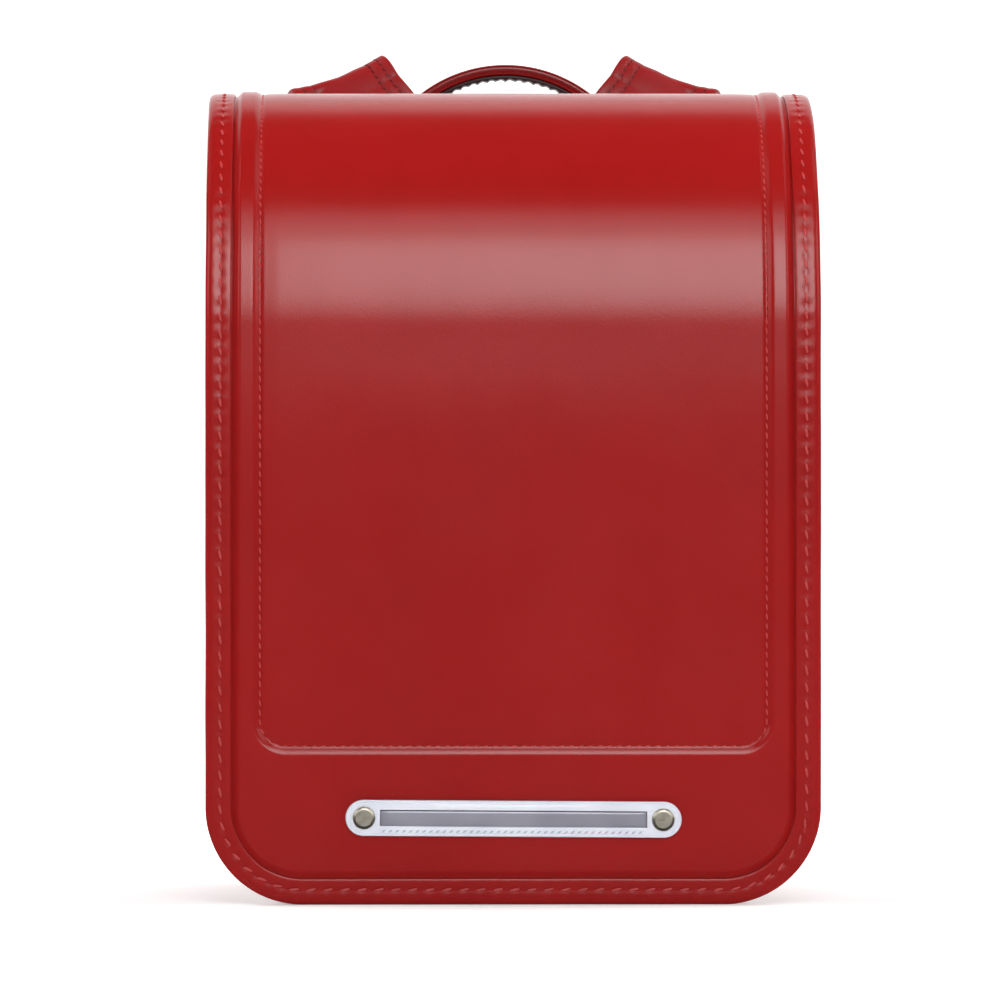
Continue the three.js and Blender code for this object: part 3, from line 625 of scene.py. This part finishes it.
STRAP_WIDTH = 47
STRAP_END_WIDTH = 34
STRAP_TAPER_START = 0.82
STRAP_THICK = 5
STRAP_SEAMS = (4.8, 9.6)
STRAP_PITCH = 3.6
STRAP_STITCH = (2.6, 0.7)
STRAP_ROOT_X = 32
STRAP_SPREAD = 100
STRAP_BASE = 184.3
STRAP_REACH = 62
STRAP_ROOT_Z = 279.5
STRAP_END_Z = 118
STRAP_CREST_Z = 366
STRAP_FIRST_FALLING = 7
STRAP_ROWS = [
    (0, 0, 0, 0), (0.02, 0.02, 0.09, 0), (0.08, 0.1, 0.26, 0), (0.2, 0.2, 0.47, 2), (0.36, 0.3, 0.71, 2),
    (0.53, 0.39, 0.885, 11), (0.63, 0.52, 0.995, 22), (0.68, 0.68, 0.965, 24), (0.745, 0.83, 0.83, 19),
    (0.795, 0.95, 0.73, 12), (0.865, 1, 0.6, 6), (0.92, 0.96, 0.45, 3),
    (0.97, 0.82, 0.3, 0), (0.99, 0.6, 0.13, 0), (1, 0.42, 0, 0),
]


def strap_knots():
    knots = []
    for i, (out, back, up, _) in enumerate(STRAP_ROWS):
        lowest = STRAP_END_Z if i >= STRAP_FIRST_FALLING else STRAP_ROOT_Z
        x = STRAP_ROOT_X + (STRAP_SPREAD - STRAP_ROOT_X) * out
        knots.append(Vector((x, STRAP_BASE + back * STRAP_REACH, lowest + (STRAP_CREST_Z - lowest) * up)))
    return knots


def strap_frame(share):
    place = share * (len(STRAP_ROWS) - 1)
    row = min(int(place), len(STRAP_ROWS) - 2)
    roll = STRAP_ROWS[row][3] + (STRAP_ROWS[row + 1][3] - STRAP_ROWS[row][3]) * (place - row)
    return strip_frame(*centripetal(strap_knots(), share), roll)


def strap_width(share):
    taper = smooth_step((share - STRAP_TAPER_START) / (1 - STRAP_TAPER_START))
    return STRAP_WIDTH + (STRAP_END_WIDTH - STRAP_WIDTH) * taper


def strap_face(d, face):
    """Height of the strap's leather over its middle, d in from the edge; it is drawn in along the seams."""
    soft = 1.5
    edge = soft * (1 - math.sqrt(max(1 - (1 - min(d / soft, 1)) ** 2, 0)))
    drawn = sum(0.35 * bell(d - seam, 0.9) for seam in STRAP_SEAMS)
    pad = (0.5 if face < 0 else 1.3) * smooth_step((d - STRAP_SEAMS[1]) / 8)
    return STRAP_THICK / 2 - edge - drawn + pad


def strap_marks():
    close = [0, 0.1, 0.35, 0.8, 1.5, 2.6, 3.6, 4.2, 4.8, 5.4, 6, 7.2, 8.4, 9, 9.6, 10.2, 10.8]
    half = [(d, 0) for d in close] + [(close[-1], a) for a in (0.2, 0.45, 0.7, 1)]
    row = [(1, *mark) for mark in half] + [(-1, *mark) for mark in reversed(half[:-1])]
    return [(face, side * face, d, a) for face in (1, -1) for side, d, a in row]


def shoulder_strap(side):
    stations = [(strap_frame(share), strap_width(share) / 2, share) for share in evenly(0, 1, 150)]

    def place(mark, station):
        face, hand, d, a = mark
        frame, half, share = station
        d += (half - d) * a
        wave = ripple(share * 400, hand * d, side * 30, 26, 0.25) * smooth_step(d / 9)
        return on_strip(frame, hand * (half - d), face * (strap_face(d, face) + wave), side)

    return swept(strap_marks(), stations, place)


def strap_seams(side):
    """Both rows along both edges, on both faces."""
    routes = []
    for face in (1, -1):
        for hand in (1, -1):
            for seam in STRAP_SEAMS:
                route = []
                for share in evenly(0.015, 0.985, 260):
                    frame = strap_frame(share)
                    u = hand * (strap_width(share) / 2 - seam)
                    spot = on_strip(frame, u, face * (strap_face(seam, face) + 0.1), side)
                    route.append((spot, strip_outward(frame, side, face)))
                routes.append(route)
    return threads(routes, STRAP_PITCH, *STRAP_STITCH)


for side, hand in ((1, "right"), (-1, "left")):
    strap = finished("strap_" + hand, shoulder_strap(side), STRAP, 50)
    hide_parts("shoulder_strap_" + hand)
    finished("strap_thread_" + hand, strap_seams(side), DARK_THREAD)


# Handle: an arched roll of leather over a near-black lining, whose lower edge is drawn in by the sewing; the
# lining's near-black is partly its own dark leather and partly painted shade of the handle's underside

HANDLE_CENTRE = 308.5
HANDLE_RADIUS = 60
HANDLE_SWEEP = math.radians(78)
HANDLE_THICK = 7
HANDLE_DEPTH = 13
FOOT_LENGTH = 20
FOOT_WIDTH = 19
FOOT_THICK = 2.8
HANDLE_INNER = 181.2
SCALLOP = 4.5
HANDLE_FACE = [(0, 1), (0.4, 1), (0.72, 0.98), (0.86, 0.9), (0.93, 0.8), (0.91, 0.7), (0.95, 0.6)]
HANDLE_FACE += [(0.95, 0.35), (0.9, 0.1), (0.89, -0.02), (0.95, -0.12), (1, -0.23), (0.97, -0.33)]
HANDLE_FACE += [(0.82, -0.4), (0.4, -0.42)]
LINING_FACE = [(0.3, -0.4), (0.7, -0.4), (0.84, -0.42), (0.88, -0.5), (0.88, -0.7), (0.88, -0.95)]
LINING_FACE += [(0.8, -1.1), (0.5, -1.18), (0.2, -1.2)]


def handle_stations():
    """Places along the handle: x, z, turn, depth, width and distance walked, from one foot to the other."""
    stations = []
    for turn in evenly(-HANDLE_SWEEP, HANDLE_SWEEP, 132):
        flat = smooth_step((abs(turn) / HANDLE_SWEEP - 0.7) / 0.3)
        depth = HANDLE_DEPTH + (FOOT_THICK - HANDLE_DEPTH) * flat
        across = HANDLE_THICK + (FOOT_WIDTH - HANDLE_THICK) * flat
        x, z = HANDLE_RADIUS * math.sin(turn), HANDLE_CENTRE + HANDLE_RADIUS * math.cos(turn)
        stations.append((x, z, turn, depth, across, HANDLE_RADIUS * turn))
    ends = []
    for side in (-1, 1):
        turn = side * HANDLE_SWEEP
        for reach in (FOOT_LENGTH, FOOT_LENGTH - 1, FOOT_LENGTH / 2):
            x = side * (HANDLE_RADIUS * math.sin(HANDLE_SWEEP) + reach * math.cos(HANDLE_SWEEP))
            z = HANDLE_CENTRE + HANDLE_RADIUS * math.cos(HANDLE_SWEEP) - reach * math.sin(HANDLE_SWEEP)
            narrow = 1 if reach < FOOT_LENGTH else 0.9
            ends.append((x, z, turn, FOOT_THICK, FOOT_WIDTH * narrow, HANDLE_RADIUS * turn + side * reach))
    return ends[:3] + stations + list(reversed(ends[3:]))


def handle_place(mark, station):
    q, r = mark
    x, z, turn, depth, across, walked = station
    if r < -0.7 and depth > 6:
        r += 0.3 * abs(math.sin(math.pi * walked / SCALLOP))
    lift = r * across / 2
    return at(x + lift * math.sin(turn), HANDLE_INNER + depth / 2 + q * depth / 2, z + lift * math.cos(turn))


def handle_leather():
    front = [(-q, r) for q, r in HANDLE_FACE]
    back = [(q, r) for q, r in reversed(HANDLE_FACE[1:-1])]
    under = [(-0.4, -0.42), (0, -0.42), (0.4, -0.42)]
    return swept(front[:-1] + under + back, handle_stations(), handle_place)


def handle_lining():
    section = LINING_FACE + [(-q, r) for q, r in reversed(LINING_FACE)]
    arch = [station for station in handle_stations() if station[3] > FOOT_THICK + 0.001]
    return swept(section, arch, handle_place)


def foot_seams():
    """Stitches round both feet of the handle, on their outer face."""
    routes = []
    for side in (-1, 1):
        turn = side * HANDLE_SWEEP
        lead = Vector((side * math.cos(turn), 0, -side * math.sin(turn)))
        across = Vector((math.sin(turn), 0, math.cos(turn)))
        x, z = HANDLE_RADIUS * math.sin(turn), HANDLE_CENTRE + HANDLE_RADIUS * math.cos(turn)
        root = Vector((x, HANDLE_INNER + FOOT_THICK, z))
        corners = [(-2, 6.5), (FOOT_LENGTH - 3, 6.5), (FOOT_LENGTH - 3, -6.5), (-2, -6.5), (-2, 6.5)]
        for (a, b), (c, d) in zip(corners, corners[1:]):
            spots = [root + (a + (c - a) * t) * lead + (b + (d - b) * t) * across for t in evenly(0, 1, 8)]
            routes.append([(at(*spot), Vector((0, 1, 0))) for spot in spots])
    return threads(routes, STRAP_PITCH, *STRAP_STITCH)


handle = finished("handle_roll", handle_leather(), HANDLE_RED, 55)
# The lining's near-black finish holds painted shade of the handle's underside
lining = finished("handle_lining", handle_lining(), LINING_AND_PAINTED_SHADE, 55)
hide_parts("handle")
finished("handle_thread", foot_seams(), DARK_THREAD)


# Reflector: a pale moulded frame with a grey sheet in its window and a rivet at each end

FRAME_LENGTH = 144.5
FRAME_WIDTH = 15.5
FRAME_THICK = 1.8
FRAME_HEIGHT = 37
FRAME_FACE = -(1 + CLEAR) - FRAME_THICK
FRAME_TILT = math.radians(-0.4)
WINDOW_LENGTH = 114.5
WINDOW_WIDTH = 6.9
RIVET_SPACING = 128.5
RIVET_RADIUS = 4.9
NICK_PITCH = 2.9
NICK_DROP = 5.6


def on_reflector(x, z, y):
    """A point of the reflector, x and z from its middle, y counted from the flap's face."""
    turned = Vector((x, z)).to_3d()
    turned.rotate(Matrix.Rotation(FRAME_TILT, 3, "Z"))
    return at(turned.x, y, FRAME_HEIGHT + turned.y)


def frame_outline():
    """Pairs of (outer point, window point) round the frame."""
    radius, corner = FRAME_WIDTH / 2, 1.0
    straight = FRAME_LENGTH / 2 - radius
    wide, tall = WINDOW_LENGTH / 2, WINDOW_WIDTH / 2
    pairs = []
    for side in (1, -1):
        for a in evenly(-math.pi / 2, math.pi / 2, 20):
            outer = Vector((side * (straight + radius * math.cos(a)), side * radius * math.sin(a)))
            share = a / (math.pi / 2)
            wx = wide - (corner if abs(share) > 0.95 else 0)
            wz = tall * min(abs(share) / 0.7, 1) * (1 if a > 0 else -1)
            pairs.append((outer, Vector((side * wx, side * wz))))
        for x in evenly(straight, -straight, 24)[1:-1]:
            window = Vector((side * x / straight * (wide - corner), side * tall))
            pairs.append((Vector((side * x, side * radius)), window))
    return pairs


def reflector_frame():
    stations = [(1, 0, 0), (1, 0, 0.35), (1, 0.12, 0.7), (1, 0.45, 0.95), (1, 1.0, 1), (1, 1.35, 0.97)]
    stations += [(1, 1.6, 0.82), (1, 1.95, 0.84), (1, 2.3, 0.96), (0, -1, 1)]
    stations += [(0, -0.4, 0.95), (0, -0.1, 0.75), (0, 0, 0.5), (0, 0, 0), (0.5, 0, 0)]

    def place(pair, station):
        outer, window = pair
        share, inset, lift = station
        spot = window.lerp(outer, share)
        away = (outer - window).normalized()
        spot = spot - away * inset
        return on_reflector(spot.x, spot.y, -(1 + CLEAR) - FRAME_THICK * lift)

    bm = bmesh.new()
    pairs = frame_outline()
    laid_out(bm, pairs + pairs[:1], stations + stations[:1], place)
    bmesh.ops.remove_doubles(bm, verts=bm.verts, dist=0.000002)
    bmesh.ops.recalc_face_normals(bm, faces=bm.faces)
    return bm


def reflector_sheet():
    """The grey sheet: slightly domed between the window's edges."""
    wide, tall = WINDOW_LENGTH / 2 - CLEAR, WINDOW_WIDTH / 2 - CLEAR
    across = [-1, -0.985, *evenly(-0.95, 0.95, 30), 0.985, 1]
    along = [-1, -0.9, *evenly(-0.7, 0.7, 6), 0.9, 1]
    face = -(1 + CLEAR) - 0.8

    def place(a, b):
        edge = max(abs(a), abs(b))
        return on_reflector(a * wide, b * tall, face - (0.12 * (1 - b * b) if edge < 1 else -0.25))

    bm = bmesh.new()
    laid_out(bm, across, along, place)
    bmesh.ops.solidify(bm, geom=bm.faces[:], thickness=0.0004)
    bmesh.ops.recalc_face_normals(bm, faces=bm.faces)
    return bm


def reflector_nicks():
    """A row of small slanted ribs moulded into the frame below its window."""
    half = WINDOW_LENGTH / 2
    route = [(on_reflector(x, -NICK_DROP, FRAME_FACE), Vector((0, -1, 0))) for x in evenly(-half, half, 60)]
    return threads([route], NICK_PITCH, 1.9, 0.75, slant=32, height=0.35)


def rivet(side):
    """A flat polished head with a rolled rim, on its shank."""
    r = RIVET_RADIUS
    profile = [(0, 1.3), (r * 0.7, 1.32), (r * 0.74, 1.32), (r * 0.78, 1.26)]
    profile += [(r * 0.94, 0.78), (r * 0.985, 0.55), (r, 0.3), (r * 0.97, 0.02)]
    profile += [(1.7, 0), (1.6, -4), (0, -4)]
    middle = on_reflector(side * RIVET_SPACING / 2, 0, FRAME_FACE - CLEAR * 0.2)
    bm = bmesh.new()
    rim = [bm.verts.new(middle + Vector((d * MM, -h * MM, 0))) for d, h in profile]
    edges = [bm.edges.new(pair) for pair in zip(rim, rim[1:])]
    bmesh.ops.spin(
        bm, geom=rim + edges, cent=middle, axis=(0, 1, 0), angle=2 * math.pi, steps=40, use_merge=True,
        use_duplicate=False,
    )
    bmesh.ops.remove_doubles(bm, verts=bm.verts, dist=0.000002)
    bmesh.ops.recalc_face_normals(bm, faces=bm.faces)
    return bm


reflector = finished("reflector_rim", reflector_frame(), WHITE, 40)
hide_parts("reflector_frame")
sheet = finished("reflector_window", reflector_sheet(), GREY, 40)
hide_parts("reflector_sheet")
finished("reflector_ribs", reflector_nicks(), RIB_GREY)
for side, hand in ((1, "right"), (-1, "left")):
    head = finished("rivet_" + hand, rivet(side), PALE_BRASS, 25)
    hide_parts("reflector_rivet_" + hand)


# Boxes, back panel and fittings: the frame's own shapes with softened edges


def softened(node, finish, radius, margin=1.6, segments=2, name=None):
    """A copy of a frame piece whose edges are rounded, with a narrow border inside each large face."""
    bm = bmesh.new()
    bm.from_mesh(frame["nodes"][node].data)
    bmesh.ops.remove_doubles(bm, verts=bm.verts, dist=0.000002)
    bmesh.ops.dissolve_limit(bm, angle_limit=math.radians(1), verts=bm.verts, edges=bm.edges)
    shared = [edge for edge in bm.edges if len(edge.link_faces) == 2]
    sharp = [edge for edge in shared if edge.calc_face_angle() > math.radians(35)]
    bmesh.ops.bevel(
        bm, geom=sharp, offset=radius * MM, segments=segments, profile=0.5, affect="EDGES",
        clamp_overlap=True, material=-1,
    )
    large = [face for face in bm.faces if face.calc_area() > (6 * margin * MM) ** 2]
    bmesh.ops.inset_individual(bm, faces=large, thickness=margin * MM, use_even_offset=True)
    piece = finished(name or node + "_leather", bm, finish, 50)
    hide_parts(node)
    return piece


softened("pocket_front", SHELL, 0.8)
softened("pocket_gusset", SHELL, 0.8)
softened("divider", SHELL, 0.8)
softened("main_gusset", SHELL, 0.8)
softened("back_panel", SHELL, 2.5, segments=4)
softened("yoke", SHELL, 0.8)
softened("closing_tab", SHELL, 0.7)
softened("turn_lock", NICKEL, 0.6, margin=0.6, segments=3, name="lock_plate_and_knob")
for hand in ("right", "left"):
    softened("buckle_" + hand, NICKEL, 1.1, margin=0.3, segments=3, name="buckle_frame_" + hand)
    softened("ring_" + hand, NICKEL, 1.1, margin=0.3, segments=3, name="ring_loop_" + hand)


# Lower straps and lugs: each is folded round a bar of its ring; the sewing that holds it down is not drawn

LOWER_WIDTH = 20
LOWER_THICK = 2.6
LUG_THICK = 2.2
BUCKLE_HEIGHT = 30
BUCKLE_BAR = 3.2
BUCKLE_GAP = 0.8
WEAVE_SLACK = 1.3
LOWER_LAP = 34
RING_X = 104
RING_Y = 179.0
RING_BOTTOM = 30
RING_TOP = 45
RING_BAR_REACH = 2.42
BACK_FACE = 173.4
LUG_BOTTOM = 8
LUG_WIDTH = 20


def joined_route(spots):
    """Strip frames along plain points in the y, z plane of a strap."""
    frames = []
    for share in evenly(0, 1, 12 * (len(spots) - 1)):
        frames.append(strip_frame(*centripetal(spots, share)))
    return frames


def lower_strap_knots():
    end, along = centripetal(strap_knots(), 1)
    middle = end + along * (BUCKLE_GAP + BUCKLE_HEIGHT / 2)
    slope = math.atan2(-along.y, -along.z)
    out = Vector((0, math.cos(slope), -math.sin(slope)))
    up = Vector((0, math.sin(slope), math.cos(slope)))
    weave = (BUCKLE_BAR + LOWER_THICK) / 2 + WEAVE_SLACK
    lap = (STRAP_THICK + LOWER_THICK) / 2 + CLEAR
    bar = (BUCKLE_HEIGHT - BUCKLE_BAR) / 2
    start = BUCKLE_HEIGHT / 2 + CLEAR
    spots = [(start + LOWER_LAP, -lap - WEAVE_SLACK), (start + LOWER_LAP / 2, -lap - WEAVE_SLACK)]
    spots += [(start + LOWER_THICK, -lap - WEAVE_SLACK / 2), (bar, -weave), (0, weave)]
    spots += [(-bar, -weave), (-BUCKLE_HEIGHT, -weave)]
    knots = [middle + a * up + b * out for a, b in spots]
    return [Vector((RING_X, knot.y, knot.z)) for knot in knots]


def lower_strap(side):
    knots = lower_strap_knots()
    reach = RING_BAR_REACH + LOWER_THICK / 2
    down = (Vector((RING_X, RING_Y, RING_TOP)) - knots[-1]).normalized()
    start = math.atan2(-down.y, -down.z)
    for a in evenly(0, math.pi * 1.5, 9):
        turn = start + math.pi / 2 * 0.9 - a
        knots.append(Vector((RING_X, RING_Y + reach * math.cos(turn), RING_TOP + reach * math.sin(turn))))
    return plain_strip(joined_route(knots), LOWER_WIDTH, LOWER_THICK, 0.6, side, 0.15)


def lug(side):
    reach = RING_BAR_REACH + LUG_THICK / 2
    inner = BACK_FACE + CLEAR + LUG_THICK / 2
    knots = [Vector((RING_X, inner, z)) for z in evenly(LUG_BOTTOM, RING_BOTTOM - 4, 3)]
    for a in evenly(math.pi, -math.pi * 0.35, 9):
        knots.append(Vector((RING_X, RING_Y + reach * math.cos(a), RING_BOTTOM + reach * math.sin(a))))
    outer = inner + LUG_THICK + 0.1
    knots += [Vector((RING_X, outer, z)) for z in evenly(RING_BOTTOM - 6, LUG_BOTTOM, 3)]
    return plain_strip(joined_route(knots), LUG_WIDTH, LUG_THICK, 0.6, side, 0.1)


for side, hand in ((1, "right"), (-1, "left")):
    strip = finished("lower_strap_leather_" + hand, lower_strap(side), STRAP, 50)
    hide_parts("lower_strap_" + hand)
    fold = finished("lug_leather_" + hand, lug(side), SHELL, 50)
    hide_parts("lug_" + hand)


# Sewing on the back, the yoke and the boxes


def round_corner(x, z, corner, side_x, side_z, start, end):
    """Places round a corner of a rectangle; x, z is where its two sides would meet."""
    spots = []
    for a in evenly(start, end, 10):
        across, up = corner * (1 - math.cos(a)), corner * (1 - math.sin(a))
        spots.append((x - side_x * across, z - side_z * up))
    return spots


def outline_route(half, bottom, top, corner, place, outward, closed=True):
    """Round a rectangle with round corners, or only its sides and bottom; place takes (x, z)."""
    side_top = top - (corner if closed else 0)
    quarter = math.pi / 2
    spots = [(-half, z) for z in evenly(side_top, bottom + corner, 40)]
    spots += round_corner(-half, bottom, corner, -1, -1, 0, quarter)[1:]
    spots += round_corner(half, bottom, corner, 1, -1, quarter, 0)
    spots += [(half, z) for z in evenly(bottom + corner, side_top, 40)[1:]]
    if closed:
        spots += round_corner(half, top, corner, 1, 1, 0, quarter)[1:]
        spots += round_corner(-half, top, corner, -1, 1, quarter, 0)
    return [(place(x, z), outward) for x, z in spots]


def box_seam(half, bottom, top, corner, y):
    """Round the sides and bottom of a box, on its outer face."""
    route = []
    for x, z in [(-half, z) for z in evenly(top, bottom + corner, 60)]:
        route.append((at(x, y, z), Vector((-1, 0, 0))))
    for a in evenly(0, math.pi / 2, 16):
        out = Vector((-math.cos(a), 0, -math.sin(a)))
        route.append((at(-half + corner * (1 - math.cos(a)), y, bottom + corner * (1 - math.sin(a))), out))
    for x in evenly(-half + corner, half - corner, 60):
        route.append((at(x, y, bottom), Vector((0, 0, -1))))
    for a in evenly(math.pi / 2, 0, 16):
        out = Vector((math.cos(a), 0, -math.sin(a)))
        route.append((at(half - corner * (1 - math.cos(a)), y, bottom + corner * (1 - math.sin(a))), out))
    for x, z in [(half, z) for z in evenly(bottom + corner, top, 60)]:
        route.append((at(x, y, z), Vector((1, 0, 0))))
    return route


BEHIND = Vector((0, 1, 0))
BODY_PITCH = 4.1
BODY_STITCH = (2.9, 0.75)
back_routes = [outline_route(121, 6, 312, 24, lambda x, z: at(x, BACK_FACE + 0.05, z), BEHIND, closed=False)]
back_routes.append(outline_route(71.5, 270, 321, 8.5, lambda x, z: at(x, 180.95, z), BEHIND))
finished("back_thread", threads(back_routes, BODY_PITCH, *BODY_STITCH), THREAD)
box_routes = [box_seam(118.05, 10.95, 316, 22, y) for y in (47, 50.5, 156, 159.5)]
box_routes += [box_seam(114.05, 10.95, 252, 18, y) for y in (13.6, 37.2)]
finished("gusset_thread", threads(box_routes, BODY_PITCH, *BODY_STITCH), THREAD)


# Back pad: leather over foam, blown up a little in its outline and then sewn down in channels

PAD_CELL = 0.006
PAD_SWELL = 0.0035
PAD_PRESSURE = 4
PAD_CHANNELS_Z = (96, 148, 200)
PAD_BORDER = 13
PAD_CHANNEL_DEPTH = 2.6
PAD_CHANNEL_WIDTH = 3.4


def swollen(piece, cell, swell, floor_y):
    """Lets the pad's filling swell it, never by more than swell and never into the back panel."""
    voxels = piece.modifiers.new("even_cells", "REMESH")
    voxels.mode = "VOXEL"
    voxels.voxel_size = cell
    even = bpy.data.meshes.new_from_object(piece.evaluated_get(bpy.context.evaluated_depsgraph_get()))
    piece.modifiers.clear()
    piece.data = even
    start = [corner.co.copy() for corner in even.vertices]
    cloth = piece.modifiers.new("filling", "CLOTH")
    cloth.settings.use_pressure = True
    cloth.settings.uniform_pressure_force = PAD_PRESSURE
    cloth.settings.effector_weights.gravity = 0
    scene = bpy.context.scene
    for step in range(1, 21):
        scene.frame_set(step)
    blown = piece.evaluated_get(bpy.context.evaluated_depsgraph_get()).data
    ends = [corner.co.copy() for corner in blown.vertices]
    scene.frame_set(1)
    piece.modifiers.clear()
    for corner, here, there in zip(even.vertices, start, ends):
        move = there - here
        corner.co = here + move * min(1, swell / max(move.length, 1e-9))
        corner.co.y = max(corner.co.y, floor_y)


def pad_dimple(x, z):
    """How deep the sewing draws the pad in at a place of its face."""
    half, low, high = 86, 34, 262
    border = min(half - abs(x), z - low, high - z)
    deep = bell(border - PAD_BORDER, PAD_CHANNEL_WIDTH)
    if border > PAD_BORDER:
        deep = max([deep] + [bell(z - line, PAD_CHANNEL_WIDTH) for line in PAD_CHANNELS_Z])
    return PAD_CHANNEL_DEPTH * deep


def back_pad():
    bm = bmesh.new()
    bm.from_mesh(frame["nodes"]["back_pad"].data)
    bmesh.ops.remove_doubles(bm, verts=bm.verts, dist=0.000002)
    piece = finished("back_cushion", bm, PAD)
    floor_y, top_y = (corner[1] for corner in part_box("back_pad"))
    swollen(piece, PAD_CELL, PAD_SWELL, floor_y)
    bm = bmesh.new()
    bm.from_mesh(piece.data)
    bmesh.ops.subdivide_edges(bm, edges=bm.edges, cuts=1, smooth=0.6, use_grid_fill=True)
    middle = (floor_y + top_y) / 2
    for corner in bm.verts:
        if corner.co.y > middle:
            share = min((corner.co.y - middle) / (top_y - middle), 1)
            corner.co.y -= share * pad_dimple(corner.co.x / MM, corner.co.z / MM) * MM
        corner.co.y = max(corner.co.y, floor_y)
    bm.to_mesh(piece.data)
    bm.free()
    piece.data.shade_smooth()
    if not piece.data.materials:
        piece.data.materials.append(PAD)
    finer = piece.modifiers.new("finer", "SUBSURF")
    finer.levels = finer.render_levels = 1
    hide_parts("back_pad")


back_pad()


# Stage, light and camera

CAMERA_DISTANCE = 3.1
CAMERA_HEIGHT = 0.175
CAMERA_TURN = math.radians(-1)
LENS = 261
AIM_X = -0.0069


def look(obj, target):
    obj.rotation_euler = (target - obj.location).to_track_quat("-Z", "Y").to_euler()


def softbox(name, azimuth, elevation, distance, width, height, brightness):
    """A softbox aimed at the flap; azimuth and elevation in degrees, 0 straight in front of the bag."""
    lamp = bpy.data.lights.new(name, "AREA")
    lamp.shape = "RECTANGLE"
    lamp.size = width
    lamp.size_y = height
    lamp.energy = brightness * math.pi * width * height
    box = bpy.data.objects.new(name, lamp)
    target = Vector((0, FLAP_FACE, 0.25))
    turn, lift = math.radians(azimuth), math.radians(elevation)
    away = Vector((math.sin(turn) * math.cos(lift), -math.cos(turn) * math.cos(lift), math.sin(lift)))
    box.location = target + distance * away
    look(box, target)
    bpy.context.scene.collection.objects.link(box)
    return box


def studio():
    """A pale floor that curves up into a backdrop and glows as painted light, two softboxes in front and soft
    light from the sides.
    """
    depth, sweep, rise, front, far = 4.2, 0.9, 7, 5, 0.3
    f = Finish("pale_paper_painted_glow")
    tone = f.mixed(f.noise(3, detail=2), (0.86, 0.86, 0.86, 1), (0.89, 0.89, 0.89, 1))
    run = f.node("SeparateXYZ", sockets={"Vector": f.place()}, output="Y")
    lift = f.node("SeparateXYZ", sockets={"Vector": f.place()}, output="Z")
    # Painted light: the paper glows, faintly in front of the bag, strongly behind it and a little less high
    # up the backdrop, so it reads white and lights the bag's back and top
    glow = f.between(run, 0.1, 0.78, -0.3, 0.6) * f.between(lift, 1, 0.62, 1.0, 2.6)
    paper = f.surface(Base_Color=tone, Roughness=0.9, Emission_Color=glow, Emission_Strength=1.0)

    def place(x, run):
        if run < 0:
            return Vector((x, depth + run, 0))
        turn = min(run / sweep, math.pi / 2)
        up = max(run - sweep * math.pi / 2, 0)
        return Vector((x, depth + sweep * math.sin(turn), sweep * (1 - math.cos(turn)) + up))

    floor_runs = evenly(-depth - front, far - depth, 6)
    quarter = sweep * math.pi / 2
    rising_runs = evenly(far - depth, 0, 6) + evenly(0, quarter, 16)[1:] + evenly(quarter, rise, 4)[1:]
    for name, runs in (("paper_floor", floor_runs), ("paper_backdrop", rising_runs)):
        bm = bmesh.new()
        laid_out(bm, evenly(-6, 6, 8), runs, place)
        mesh = bpy.data.meshes.new(name)
        bm.to_mesh(mesh)
        bm.free()
        mesh.materials.append(paper)
        mesh.shade_smooth()
        sheet = bpy.data.objects.new(name, mesh)
        bpy.context.scene.collection.objects.link(sheet)
        sheet.visible_glossy = name == "paper_backdrop"

    world = bpy.data.worlds.new("studio")
    world.use_nodes = True
    world.node_tree.nodes["Background"].inputs["Color"].default_value = (1, 1, 1, 1)
    world.node_tree.nodes["Background"].inputs["Strength"].default_value = 0.04
    bpy.context.scene.world = world
    softbox("wide_box", 4, 33, 2.4, 1.5, 2.2, 1.6)
    softbox("main_box", 8, 28, 2.3, 1.05, 1.3, 3.0)
    for side, name in ((-1, "left"), (1, "right")):
        softbox(name + "_fill", 62 * side, 24, 2, 1, 1.2, 1.2)
        softbox(name + "_top", 102 * side, 52, 2.3, 0.9, 0.9, 14.5).visible_glossy = False
    bpy.context.scene.view_settings.view_transform = "Standard"


def camera():
    lens = bpy.data.cameras.new("camera")
    lens.sensor_width = 36
    lens.lens = LENS
    lens.clip_end = 50
    eye = bpy.data.objects.new("camera", lens)
    aim = Vector((AIM_X, FLAP_FACE, CAMERA_HEIGHT))
    eye.location = aim + CAMERA_DISTANCE * Vector((math.sin(CAMERA_TURN), -math.cos(CAMERA_TURN), 0))
    look(eye, aim)
    bpy.context.scene.collection.objects.link(eye)
    bpy.context.scene.camera = eye


studio()
camera()
